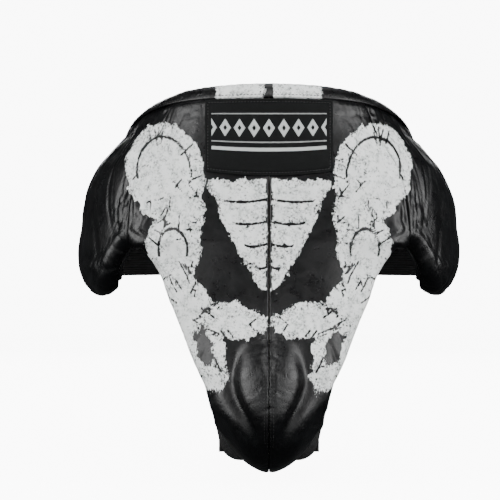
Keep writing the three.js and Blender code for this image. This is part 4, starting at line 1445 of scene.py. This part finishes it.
def cup_foams():
    """The padded roll round the cup's pocket, the pad over the cup and the cushion behind it."""
    turn = np.linspace(0, 2 * math.pi, 121)
    middle, half = (CUP_TOP + KEEL_LENGTH) / 2, (KEEL_LENGTH - CUP_TOP) / 2 - 1
    box = 1 / np.maximum(np.abs(np.cos(turn)), np.abs(np.sin(turn)))
    outer_down = middle + half * box * np.sin(turn)
    outer_angle = (front_edge(outer_down)[0] - 0.5) * box * np.cos(turn)
    inner_angle, inner_down = cup_outline(turn, POCKET)
    share = np.linspace(0, 1, 12)[:, None]
    angle, down = mix(inner_angle, outer_angle, share), mix(inner_down, outer_down, share)
    facing = normal_on(front_point, angle, down)
    points = front_point(angle, down)
    outside = points - facing * front_sink(angle, down)[..., None]
    inside = points - facing * (FRONT_STACK - LINING_ROOM)
    loop = np.concatenate([outside, inside[::-1], outside[:1]], 0)
    obj = grid_mesh("cup_roll_foam", loop)
    merge_doubles(obj)
    face_outwards(obj)
    soften(obj, 1.2)
    finish_piece(obj, "root", "eva_foam", ["cup_roll_foam"])
    angle, down = cup_field(1.0)
    top = COVER_OUTER - np.minimum(cup_relief(front_point(angle, down)[..., 0], down), 0)
    padding("cup_cover_pad", front_point, angle, down, top, COVER_INNER)
    padding("cup_cushion", front_point, *cup_field(0.99), CUSHION_OUTER, CUSHION_INNER)


def cup():
    """The moulded cup and the rubber edge round it."""
    angle, down = cup_field(1.0, 41, 57)
    facing = normal_on(front_point, angle, down)
    points = front_point(angle, down)
    shell = slab("cup_shell", points - facing * CUP_OUTER, points - facing * CUP_INNER)
    soften(shell, 0.8, 3)
    finish_piece(shell, "root", "polypropylene", ["cup_shell"])
    turn = np.linspace(0, 2 * math.pi, 145)[:, None]
    section = np.linspace(0, 2 * math.pi, 15)[None, :]
    size = 1 + (4 + 2 * np.cos(section)) / 42
    angle, down = cup_outline(turn, size)
    depth = RIM_DEPTH - RIM_HALF_DEPTH * np.sin(section) + 0 * turn
    facing = normal_on(front_point, angle, down)
    points = front_point(angle, down) - facing * depth[..., None]
    rim = grid_mesh("cup_rim", points)
    merge_doubles(rim)
    face_outwards(rim)
    finish_piece(rim, "root", "rim_rubber", ["cup_rim"])


def quilted(across, down):
    """Diamond quilting: soft puffs between crossed rows of stitches."""
    pitch = sizes("quilting_pitch")
    p, q = (across + down) / pitch, (across - down) / pitch
    return np.abs(np.sin(math.pi * p) * np.sin(math.pi * q)) ** 0.6


def flat_edges(count, share):
    """Fades from 0 at both ends of a row to 1 past a share of it."""
    return np.minimum(*(smooth(0, share, np.linspace(start, 1 - start, count)) for start in (0, 1)))


FRONT_CUT, WING_CUT = (300, 495), (205, 185)  # width and length of the flat linings
LINING_WALL = 0.9


def lining(name, surface, angle, down, depth, side, rests_on, cut):
    """A quilted lining at a depth under a surface, sewn round its edges."""
    facing = normal_on(surface, angle, down)
    across = angle * FRONT_PER_DEGREE
    rows, columns = angle.shape
    edge = flat_edges(columns, 0.06)[None, :] * flat_edges(rows, 0.04)[:, None]
    puff = sizes("quilting_depth") * quilted(across, down) * edge - 0.6
    puff = puff + 0.25 * noise(across / 7, down / 9, 151)
    points = surface(angle, down) - facing * (depth + puff)[..., None]
    obj = grid_mesh(name, sided(points, side), sided(-facing, side), uv=np.stack([across, down], -1))
    wall(obj, LINING_WALL)
    finish_piece(obj, "root", "nylon_taffeta", [name])
    return obj


def linings():
    """The lining of the front and those of the wings."""
    down = np.linspace(INSET - 1, KEEL_LENGTH, 240)
    reach, _ = front_edge(down)
    angle = np.linspace(-1, 1, 130)[None, :] * reach[:, None]
    dropped = down[:, None] + rim_drop(np.abs(angle)) * (1 - smooth(INSET, 90, down))[:, None]
    lining("front_lining", front_point, angle, dropped, FRONT_STACK - 1.0, 1, ["belly_foam", "cup_roll_foam"],
           FRONT_CUT)
    body, _ = wing_span()
    for side in (1, -1):
        columns = np.linspace(CREASE, body[-1] + 0.3, 120)
        reach, _ = wing_edge(columns)
        top = rim_drop(columns) + INSET - 1
        down = top + np.linspace(0, 1, 110)[:, None] * (reach - top)
        angle = np.broadcast_to(columns, down.shape)
        depth = mix(FRONT_STACK, WING_STACK, smooth(CREASE, CREASE + 8, angle)) - 1.0
        lining(f"wing_lining_{side_name(side)}", ring_point, angle, down, depth, side,
               [f"wing_foam_{side_name(side)}"], WING_CUT)


# ---- webbing and tapes
def band(name, columns, rows, place, thickness, width, length, rounding=0.35):
    """A strip of webbing or tape: a grid laid along a place function of two shares, which gives
    points and the way its outer face looks, then given its wall and soft edges."""
    bpy.ops.object.select_all(action="DESELECT")
    bpy.ops.mesh.primitive_grid_add(x_subdivisions=columns, y_subdivisions=rows, size=2)
    obj = bpy.context.object
    obj.name = obj.data.name = name
    share = (mesh_points(obj)[:, :2] + 1) / 2
    points, facing = place(share[:, 0], share[:, 1])
    uv = obj.data.uv_layers.active
    corner = np.empty(len(obj.data.loops), np.int32)
    obj.data.loops.foreach_get("vertex_index", corner)
    flat = share[corner] * np.array([width, length]) * MM
    uv.data.foreach_set("uv", flat.astype(np.float32).reshape(-1))
    obj.data.vertices.foreach_set("co", (points * MM).astype(np.float32).reshape(-1))
    obj.data.update()
    face = obj.data.polygons[len(obj.data.polygons) // 2]
    if Vector(facing[face.vertices[0]]).dot(face.normal) < 0:
        flip(obj)
    wall(obj, thickness)
    if rounding:
        soften(obj, rounding)
    return obj


def border(place, margin, width, length, count=40):
    """Points and facings along a rectangle of stitches, `margin` in from a band's edges."""
    mu, mv = margin / width, margin / length
    corners = [(mu, mv), (1 - mu, mv), (1 - mu, 1 - mv), (mu, 1 - mv), (mu, mv)]
    shares = np.vstack([
        np.linspace(a, b, count, endpoint=False) for a, b in zip(np.array(corners), np.array(corners[1:]))
    ] + [np.array(corners[:1])])
    return place(shares[:, 0], shares[:, 1])


def degrees_of(length):
    """Degrees of the hips' oval that a length takes."""
    return math.degrees(length / HIP_HALF)


BELT_BOTTOM = BELT_TOP + BELT_HEIGHT
BELT_FROM = WING_END + degrees_of(BELT_START)
BELT_TO = 180 + degrees_of(BELT_OVERLAP)
SEWN_IN = 3.5  # degrees that the elastic runs on inside a wing's rear edge


def belt_place(start, end, top, bottom, depth, side, ribs=0.0):
    """Places for a band on the belt's oval; depth is a number or a function of the angle."""
    def place(u, v):
        angle, down = mix(start, end, u), mix(top, bottom, v)
        sink = depth(angle) if callable(depth) else depth + 0 * angle
        if ribs:
            sink = sink + ribs * np.cos(down / sizes("rib_spacing") * 2 * math.pi)
            sink = sink + 0.5 * noise(angle / 9, down / 30, 161)
        facing = normal_on(belt_point, angle, down)
        return sided(belt_point(angle, down) - facing * sink[..., None], side), sided(facing, side)
    return place


def belt_depth_at(side):
    """Depth of a belt half's outer face: the right half dips under the left one at the back."""
    def depth(angle):
        share = smooth(0, 0.6, (angle - BELT_FROM) / (BELT_TO - BELT_FROM))
        return mix(BELT_DEPTH, BELT_INNER_DEPTH, share) if side > 0 else BELT_DEPTH + 0 * angle
    return depth


def belt_elastics():
    """The two elastic halves of the belt, sewn in at the wings, and their edge stitches."""
    height = BELT_HEIGHT
    for side in (1, -1):
        which = side_name(side)
        body = f"belt_{which}"
        place = belt_place(BELT_FROM - SEWN_IN, BELT_TO, BELT_TOP, BELT_BOTTOM, belt_depth_at(side), side,
                           sizes("rib_depth"))
        obj = band(f"belt_elastic_{which}", 120, 116, place, BELT_WALL, 245, height, 0)
        finish_piece(obj, None, "elastic_knit", [f"belt_elastic_{which}"])
        at = [belt_place(angle, angle + 1, 120, 121, 10.0, side)(np.zeros(1), np.zeros(1))[0][0] * MM
              for angle in (WING_END + 0.6, BELT_FROM + 4)]
        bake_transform(obj)
        for name, down in (("top", BELT_TOP + 3), ("bottom", BELT_BOTTOM - 3)):
            u = np.linspace(0.06, 0.97, 80)
            seat, facing = belt_place(BELT_FROM, BELT_TO, down, down + 1, belt_depth_at(side), side)(u, u * 0)
            stitches(f"belt_{name}_stitching_{which}", seat + facing * 0.35, facing, 4.2, 3.0, body,
                     "elastic_webbing")


def belt_fastening():
    """The hook and loop patches and the pull tab where the belt's ends overlap."""
    height = BELT_HEIGHT
    margin = 6
    inner_end = BELT_TO - degrees_of(margin)
    patch = (inner_end - degrees_of(62), inner_end, BELT_TOP + margin, BELT_BOTTOM - margin)
    hook_place = belt_place(*patch, BELT_DEPTH + BELT_WALL + 0.3, -1)
    hook = band("belt_hook_patch", 60, 90, hook_place, 1.2, 62, height - 12)
    finish_piece(hook, "belt_left", "hook_tape", ["belt_hook_patch"])
    loop_place = belt_place(*patch, BELT_INNER_DEPTH - 1.3, 1)
    loop = band("belt_loop_patch", 60, 90, loop_place, 1.0, 62, height - 12)
    finish_piece(loop, "belt_right", "loop_pile", ["belt_loop_patch"])
    tab = (BELT_TO - degrees_of(46), BELT_TO + degrees_of(1.5), BELT_TOP - 0.5, BELT_BOTTOM + 0.5)
    tab_place = belt_place(*tab, BELT_DEPTH - 1.9, -1)
    pull = band("belt_pull_tab", 40, 80, tab_place, 1.5, 47, height, 0.5)
    finish_piece(pull, "belt_left", "black_cowhide", ["belt_pull_tab"])
    seat, facing = border(tab_place, 3.2, 47, height)
    stitches("pull_tab_stitching", seat, facing, 3.4, 2.5, "belt_left", "cowhide_leather")


def strap_anchors():
    """The leather pieces that hold the leg straps to the belt."""
    for side in (1, -1):
        which = side_name(side)
        half = degrees_of(STRAP_WIDTH / 2 + 4)
        depth = (BELT_DEPTH if side < 0 else BELT_DEPTH + 2.2) - 4.6
        start, end = STRAP_ANGLE - half, STRAP_ANGLE + half
        spot = belt_place(start, end, BELT_BOTTOM - 26, BELT_BOTTOM - 1, depth, side)
        anchor = band(f"strap_anchor_{which}", 40, 24, spot, 1.5, 48, 25, 0.5)
        finish_piece(anchor, f"belt_{which}", "black_cowhide", [f"strap_anchor_{which}"])
        seat, facing = border(spot, 2.6, 48, 25, 20)
        stitches(f"anchor_stitching_{which}", seat, facing, 3.2, 2.3, f"belt_{which}", "cowhide_leather")


def strap_route():
    """The middle line of the right leg strap and which way it faces, from the belt's lower edge
    down to the crotch tab."""
    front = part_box("leg_strap_right")[0].y / MM
    tab_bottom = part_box("crotch_tab")[0].z / MM
    top = under(belt_point, STRAP_ANGLE, BELT_BOTTOM + STRAP_HINGE_CLEAR, BELT_DEPTH - 0.3 - STRAP_WALL / 2)
    end = np.array([STRAP_APART / 2, front + STRAP_WALL / 2, tab_bottom + STRAP_END])
    shares = [(0.83, 0.89, 0.73), (0.55, 0.66, 0.52), (0.25, 0.38, 0.37), (0.06, 0.13, 0.28),
              (0, 0.012, 0.21), (0, 0, 0.1), (0, 0, 0)]
    line, length = catmull([top] + [end + (top - end) * np.array(share) for share in shares], 240)
    across = unit(belt_point(STRAP_ANGLE - 1, BELT_BOTTOM) - belt_point(STRAP_ANGLE + 1, BELT_BOTTOM))
    tangent = unit(np.gradient(line, axis=0))
    share = smooth(0, 0.6, np.linspace(0, 1, len(line)))[:, None]
    across = mix(across[None, :], np.array([[1.0, 0, 0]]), share)
    across = unit(across - tangent * np.sum(across * tangent, -1, keepdims=True))
    face = unit(np.cross(tangent, across))
    return line, across, face, length


def leg_straps():
    """The two elastic leg straps, hanging from the belt to the crotch tab."""
    line, across, face, length = strap_route()
    run = np.linspace(0, 1, len(line))
    tucked = 20 / length

    def place_on(side, lift):
        def place(u, v):
            t = v * (1 + tucked) - tucked
            inside = np.clip(t, 0, 1)
            read = [read_rows(inside, run, rows) for rows in (line, across, face)]
            up = np.clip(-t, 0, 1)[:, None] * length
            back = read[0] + up * np.array([[0, 0, 1.0]])
            rib = 0.22 * np.cos((u - 0.5) * STRAP_WIDTH / 4.4 * 2 * math.pi)
            rib = rib + 0.25 * noise(t * 14, u * 2, 171)
            point = back + read[1] * ((u - 0.5) * STRAP_WIDTH)[:, None] + read[2] * (lift + rib)[:, None]
            return sided(point, side), sided(read[2], side)
        return place

    for side in (1, -1):
        which = side_name(side)
        place = place_on(side, STRAP_WALL / 2)
        obj = band(f"leg_strap_{which}", 40, 200, place, STRAP_WALL, STRAP_WIDTH, length + 20, 0)
        finish_piece(obj, None, "elastic_knit", [f"leg_strap_{which}"])
        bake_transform(obj)


def plate_place(node, front):
    """Places for a tape patch that covers a flat upright node, facing forward or backward."""
    low, high = (np.array(corner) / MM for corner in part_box(node))
    level = low[1] if front else high[1]
    middle, half = (low[0] + high[0]) / 2, (high[0] - low[0]) / 2

    def place(u, v):
        z = mix(low[2], high[2], v)
        past = np.clip(np.abs(v - 0.5) * 2 * half - (half - PATCH_CORNER), 0, PATCH_CORNER) / PATCH_CORNER
        drawn_in = PATCH_CORNER * (1 - np.sqrt(1 - past**2))
        x = middle + (2 * u - 1) * (half - drawn_in)
        facing = np.tile([0.0, -1.0 if front else 1.0, 0.0], (len(u), 1))
        return np.stack([x, level + 0 * x, z], -1), facing
    return place, high[0] - low[0], high[2] - low[2], high[1] - low[1]


TAB_NARROWING = 94 / 124  # the tab's lower edge as a share of its upper one
TAB_CORNER = 17


def crotch_fastening():
    """The leather tab behind the keel, its loop patches and the straps' hook patches."""
    low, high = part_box("crotch_tab")
    middle = (low + high) / 2
    bpy.ops.object.select_all(action="DESELECT")
    bpy.ops.mesh.primitive_cube_add(size=1, location=middle, scale=tuple(high - low))
    tab = bpy.context.object
    tab.name = tab.data.name = "crotch_tab"
    bpy.ops.object.transform_apply(location=True, rotation=True, scale=True)
    shape_trapezium(tab, TAB_NARROWING)
    soften(tab, 1.1, 3)
    finish_piece(tab, "root", "black_cowhide", ["crotch_tab"])
    stitch_tab(low / MM, high / MM)
    for side in (1, -1):
        which = side_name(side)
        place, width, height, depth = plate_place(f"tab_loop_{which}", False)
        loop = band(f"tab_loop_{which}", 30, 30, place, depth, width, height)
        finish_piece(loop, "root", "loop_pile", [f"tab_loop_{which}"])
        seat, facing = border(place, 2.2, width, height, 20)
        stitches(f"tab_loop_stitching_{which}", seat, facing, 3.2, 2.3, "root", "loop_tape")
        place, width, height, depth = plate_place(f"strap_hook_{which}", True)
        hook = band(f"strap_hook_{which}", 30, 30, place, depth, width, height)
        finish_piece(hook, f"leg_strap_{which}", "hook_tape", [f"strap_hook_{which}"])


def shape_trapezium(tab, narrowing):
    """Draws in a plate's lower corners and rounds them."""
    only(tab)
    bottom = min(v.co.z for v in tab.data.vertices)
    for vertex in tab.data.vertices:
        if vertex.co.z < bottom + MM:
            vertex.co.x *= narrowing
    bpy.ops.object.mode_set(mode="EDIT")
    bpy.ops.mesh.select_mode(type="EDGE")
    bpy.ops.mesh.select_all(action="DESELECT")
    mesh = bmesh.from_edit_mesh(tab.data)
    for edge in mesh.edges:
        ends = [v.co for v in edge.verts]
        level = all(abs(co.z - bottom) < MM for co in ends)
        edge.select_set(level and abs(ends[0].y - ends[1].y) > MM and abs(ends[0].x - ends[1].x) < MM)
    bmesh.update_edit_mesh(tab.data)
    bpy.ops.mesh.bevel(offset=TAB_CORNER * MM, segments=9, affect="EDGES")
    bpy.ops.object.mode_set(mode="OBJECT")


def stitch_tab(low, high):
    """Two rows of stitches along the tab's lower edge and sides, on both faces."""
    half_top, half_bottom = (high[0] - low[0]) / 2, (high[0] - low[0]) / 2 * TAB_NARROWING
    for row, inset in (("outer", 3.5), ("inner", 6.5)):
        outline = [
            (-half_top + inset, high[2] - 2), (-half_bottom + inset - 3, low[2] + 20),
            (-half_bottom + inset + 4, low[2] + 6 + inset / 2), (-half_bottom + 18 + inset, low[2] + inset),
            (0, low[2] + inset), (half_bottom - 18 - inset, low[2] + inset),
            (half_bottom - inset - 4, low[2] + 6 + inset / 2), (half_bottom - inset + 3, low[2] + 20),
            (half_top - inset, high[2] - 2),
        ]
        line, _ = catmull(outline, 200)
        for face, level, way in (("front", low[1] - 0.1, -1.0), ("back", high[1] + 0.1, 1.0)):
            seat = np.stack([line[:, 0], np.full(len(line), level), line[:, 1]], -1)
            facing = np.tile([0.0, way, 0.0], (len(line), 1))
            stitches(f"tab_{face}_{row}_stitching", seat, facing, 3.4, 2.5, "root", "cowhide_leather")


def seam_stitches():
    """The close rows of stitches beside the centre seam, over the lower half of the cup."""
    down = np.linspace(255, 352, 160)
    for side in (1, -1):
        for row, across in (("near", 1.9), ("far", 4.4)):
            angle = np.degrees(across / front_half_width(down) * math.sin(math.radians(CREASE)))
            facing = normal_on(front_point, angle, down)
            lift = front_relief(angle, down, side) + 0.15
            seat = front_point(angle, down) + facing * lift[:, None]
            stitches(f"seam_{row}_stitching_{side_name(side)}", sided(seat, side), sided(facing, side),
                     3.3, 2.3, "root", "cowhide_leather", 0.6)


# ---- stage
FLOOR_LEVEL, FLOOR_RADIUS = -0.385, 2.4
BACKDROP_CURVE = ((1.06, 0.03), (1.05, 0.1), (1.03, 0.2), (1.01, 0.35), (1.0, 2.4))  # growth, lift
STAGE_MIDDLE = (0, 0, -0.2)
# each softbox's name, place, target, width, height and share of the key light's watts
SOFTBOXES = (
    ("left_softbox", (-1.5, -0.75, 0.15), STAGE_MIDDLE, 0.9, 1.3, 1),
    ("right_softbox", (1.5, -0.75, 0.15), STAGE_MIDDLE, 0.9, 1.3, 1),
    ("front_softbox", (0.1, -1.9, 1.3), STAGE_MIDDLE, 1.3, 0.8, 0.83),
    ("top_softbox", (0, 0.1, 1.6), STAGE_MIDDLE, 1.5, 1.2, 0.5),
    ("back_softbox", (0, 1.9, 0.7), STAGE_MIDDLE, 1.8, 0.9, 0.67),
    # what the pale floor sends back up under the keel
    ("floor_bounce", (0, -0.75, -0.37), (0, 0, -0.34), 1.4, 0.35, 0.09),
)
CAMERA_PLACE = (0, -1.515, -0.18)
LENS, SENSOR_WIDTH = 106, 36
SHIFT = (-0.038, 0.04)


def ring(**settings):
    """A circle on the floor, filled or open."""
    bpy.ops.object.select_all(action="DESELECT")
    bpy.ops.mesh.primitive_circle_add(
        vertices=96, radius=FLOOR_RADIUS, location=(0, 0, FLOOR_LEVEL), **settings)
    return bpy.context.object


def stage():
    """The pale floor and backdrop, the softboxes and the camera."""
    floor = ring(fill_type="NGON")
    floor.name = "studio_floor"
    backdrop = ring()
    backdrop.name = "studio_backdrop"
    bpy.ops.object.mode_set(mode="EDIT")
    bpy.ops.mesh.select_all(action="SELECT")
    for growth, lift in BACKDROP_CURVE:
        bpy.ops.mesh.extrude_edges_move(TRANSFORM_OT_translate={"value": (0, 0, lift)})
        bpy.ops.transform.resize(value=(growth, growth, 1), center_override=(0, 0, 0))
    bpy.ops.object.mode_set(mode="OBJECT")
    looks = bpy.context.scene.guard_stage
    material, tree, principled, place = shader("pale_studio_paper", Roughness=0.9)
    paper = add(tree, "ShaderNodeTexNoise", {"Vector": place.outputs["Object"], "Scale": 6.0, "Detail": 2.0})
    cloudy = blend_colour(tree, paper.outputs["Fac"], tuple(looks.paper), linear("#F6F7F8"))
    tree.links.new(cloudy, principled.inputs["Base Color"])
    principled.inputs["Emission Color"].default_value = linear("#FFFFFF")
    principled.inputs["Emission Strength"].default_value = looks.backdrop_glow
    for obj in (floor, backdrop):
        only(obj)
        bpy.ops.object.transform_apply(location=True, rotation=True, scale=True)
        obj.data.materials.append(material)
        obj.visible_glossy = False
        obj.visible_diffuse = False
    lights()
    camera()


def softbox(name, place, target, width, height, watts):
    """A white rectangular area light that points at a target."""
    bpy.ops.object.select_all(action="DESELECT")
    bpy.ops.object.light_add(type="AREA", location=place)
    lamp = bpy.context.object
    lamp.name = name
    lamp.data.shape = "RECTANGLE"
    lamp.data.size, lamp.data.size_y = width, height
    lamp.data.energy = watts
    lamp.rotation_euler = (Vector(target) - Vector(place)).to_track_quat("-Z", "Y").to_euler()


def lights():
    """The softboxes and a faint grey air. The camera doesn't see the last one, the bounce."""
    for name, place, target, width, height, share in SOFTBOXES:
        softbox(name, place, target, width, height, bpy.context.scene.guard_stage.key_light * share)
    bpy.context.object.visible_camera = False
    world = bpy.data.worlds.new("studio_air")
    bpy.context.scene.world = world
    world.use_nodes = True
    background = world.node_tree.nodes["Background"]
    background.inputs["Color"].default_value = linear("#E9EDF0")
    background.inputs["Strength"].default_value = 0.06


def camera():
    """The camera of a level product shot from the front."""
    bpy.ops.object.select_all(action="DESELECT")
    bpy.ops.object.camera_add(location=CAMERA_PLACE, rotation=(math.pi / 2, 0, 0))
    obj = bpy.context.object
    obj.name = "product_camera"
    obj.data.sensor_width, obj.data.lens = SENSOR_WIDTH, LENS
    obj.data.shift_x, obj.data.shift_y = SHIFT
    bpy.context.scene.camera = obj


# ---- operators and panel
class Undoable:
    """What every operator here shares."""
    bl_options = {"REGISTER", "UNDO"}


class GUARD_OT_stage(Undoable, bpy.types.Operator):
    """Floor, backdrop, softboxes and camera"""
    bl_idname = "guard.stage"
    bl_label = "Studio stage"

    def execute(self, context):
        stage()
        return {"FINISHED"}


class GUARD_OT_front_leather(Undoable, bpy.types.Operator):
    """The two painted leather halves of the front"""
    bl_idname = "guard.front_leather"
    bl_label = "Front leathers"

    def execute(self, context):
        for side in (1, -1):
            front_skin(side)
        return {"FINISHED"}


class GUARD_OT_wing_leather(Undoable, bpy.types.Operator):
    """The leather of the hip wings"""
    bl_idname = "guard.wing_leather"
    bl_label = "Wing leathers"

    def execute(self, context):
        for side in (1, -1):
            wing_skin(side)
        return {"FINISHED"}


class GUARD_OT_leg_bindings(Undoable, bpy.types.Operator):
    """The facings, welts and stitches of the leg openings"""
    bl_idname = "guard.leg_bindings"
    bl_label = "Leg bindings"

    def execute(self, context):
        for side in (1, -1):
            leg_facing(side)
        tail_closure()
        return {"FINISHED"}


class GUARD_OT_rear_bindings(Undoable, bpy.types.Operator):
    """The rolled rear edges of the wings"""
    bl_idname = "guard.rear_bindings"
    bl_label = "Rear bindings"

    def execute(self, context):
        for side in (1, -1):
            rear_roll(side)
        return {"FINISHED"}


class GUARD_OT_waist_binding(Undoable, bpy.types.Operator):
    """The padded roll round the waist"""
    bl_idname = "guard.waist_binding"
    bl_label = "Waist binding"

    def execute(self, context):
        waist_roll()
        return {"FINISHED"}


class GUARD_OT_label(Undoable, bpy.types.Operator):
    """The woven label and its stitches"""
    bl_idname = "guard.label"
    bl_label = "Label"

    def execute(self, context):
        label()
        return {"FINISHED"}


class GUARD_OT_seam(Undoable, bpy.types.Operator):
    """The rows of stitches beside the centre seam"""
    bl_idname = "guard.seam"
    bl_label = "Centre seam"

    def execute(self, context):
        seam_stitches()
        return {"FINISHED"}


class GUARD_OT_body_foams(Undoable, bpy.types.Operator):
    """The foam of the belly and the wings"""
    bl_idname = "guard.body_foams"
    bl_label = "Body padding"

    def execute(self, context):
        body_foams()
        return {"FINISHED"}


class GUARD_OT_cup_foams(Undoable, bpy.types.Operator):
    """The foam round, over and behind the cup"""
    bl_idname = "guard.cup_foams"
    bl_label = "Cup padding"

    def execute(self, context):
        cup_foams()
        return {"FINISHED"}


class GUARD_OT_cup(Undoable, bpy.types.Operator):
    """The moulded cup and its rubber edge"""
    bl_idname = "guard.cup"
    bl_label = "Cup"

    def execute(self, context):
        cup()
        return {"FINISHED"}


class GUARD_OT_linings(Undoable, bpy.types.Operator):
    """The quilted linings of the front and the wings"""
    bl_idname = "guard.linings"
    bl_label = "Linings"

    def execute(self, context):
        linings()
        return {"FINISHED"}


class GUARD_OT_belt(Undoable, bpy.types.Operator):
    """The two elastic halves of the rear belt"""
    bl_idname = "guard.belt"
    bl_label = "Belt"

    def execute(self, context):
        belt_elastics()
        return {"FINISHED"}


class GUARD_OT_belt_fastening(Undoable, bpy.types.Operator):
    """The hook patch, loop patch and pull tab of the belt"""
    bl_idname = "guard.belt_fastening"
    bl_label = "Belt fastening"

    def execute(self, context):
        belt_fastening()
        return {"FINISHED"}


class GUARD_OT_strap_anchors(Undoable, bpy.types.Operator):
    """The leather anchors of the leg straps"""
    bl_idname = "guard.strap_anchors"
    bl_label = "Strap anchors"

    def execute(self, context):
        strap_anchors()
        return {"FINISHED"}


class GUARD_OT_leg_straps(Undoable, bpy.types.Operator):
    """The two elastic leg straps"""
    bl_idname = "guard.leg_straps"
    bl_label = "Leg straps"

    def execute(self, context):
        leg_straps()
        return {"FINISHED"}


class GUARD_OT_crotch_tab(Undoable, bpy.types.Operator):
    """The leather tab and the patches that the straps close on"""
    bl_idname = "guard.crotch_tab"
    bl_label = "Crotch tab"

    def execute(self, context):
        crotch_fastening()
        return {"FINISHED"}


PIECES = (
    GUARD_OT_stage, GUARD_OT_front_leather, GUARD_OT_wing_leather, GUARD_OT_leg_bindings,
    GUARD_OT_rear_bindings, GUARD_OT_waist_binding, GUARD_OT_label, GUARD_OT_seam,
    GUARD_OT_body_foams, GUARD_OT_cup_foams, GUARD_OT_cup, GUARD_OT_linings, GUARD_OT_belt,
    GUARD_OT_belt_fastening, GUARD_OT_strap_anchors, GUARD_OT_leg_straps, GUARD_OT_crotch_tab,
)


class GUARD_PT_panel(bpy.types.Panel):
    """Lists the pieces in the order they are built, and the sizes and colours they take"""
    bl_label = "Groin protector"
    bl_idname = "GUARD_PT_panel"
    bl_space_type = "VIEW_3D"
    bl_region_type = "UI"
    bl_category = "Groin protector"

    def draw(self, context):
        column = self.layout.column(align=True)
        for piece in PIECES:
            column.operator(piece.bl_idname)
        for group in (context.scene.guard_sizes, context.scene.guard_colours, context.scene.guard_stage):
            box = self.layout.box()
            for key in group.__annotations__:
                box.prop(group, key)


GROUPS = {"guard_sizes": GuardSizes, "guard_colours": GuardColours, "guard_stage": GuardStage}


def register():
    for kind in (*GROUPS.values(), *PIECES, GUARD_PT_panel):
        bpy.utils.register_class(kind)
    for name, kind in GROUPS.items():
        setattr(bpy.types.Scene, name, bpy.props.PointerProperty(type=kind))


def unregister():
    for name in GROUPS:
        delattr(bpy.types.Scene, name)
    for kind in reversed((*GROUPS.values(), *PIECES, GUARD_PT_panel)):
        bpy.utils.unregister_class(kind)


def main():
    register()
    for piece in PIECES:
        group, name = piece.bl_idname.split(".")
        getattr(getattr(bpy.ops, group), name)()


if __name__ == "__main__":
    main()
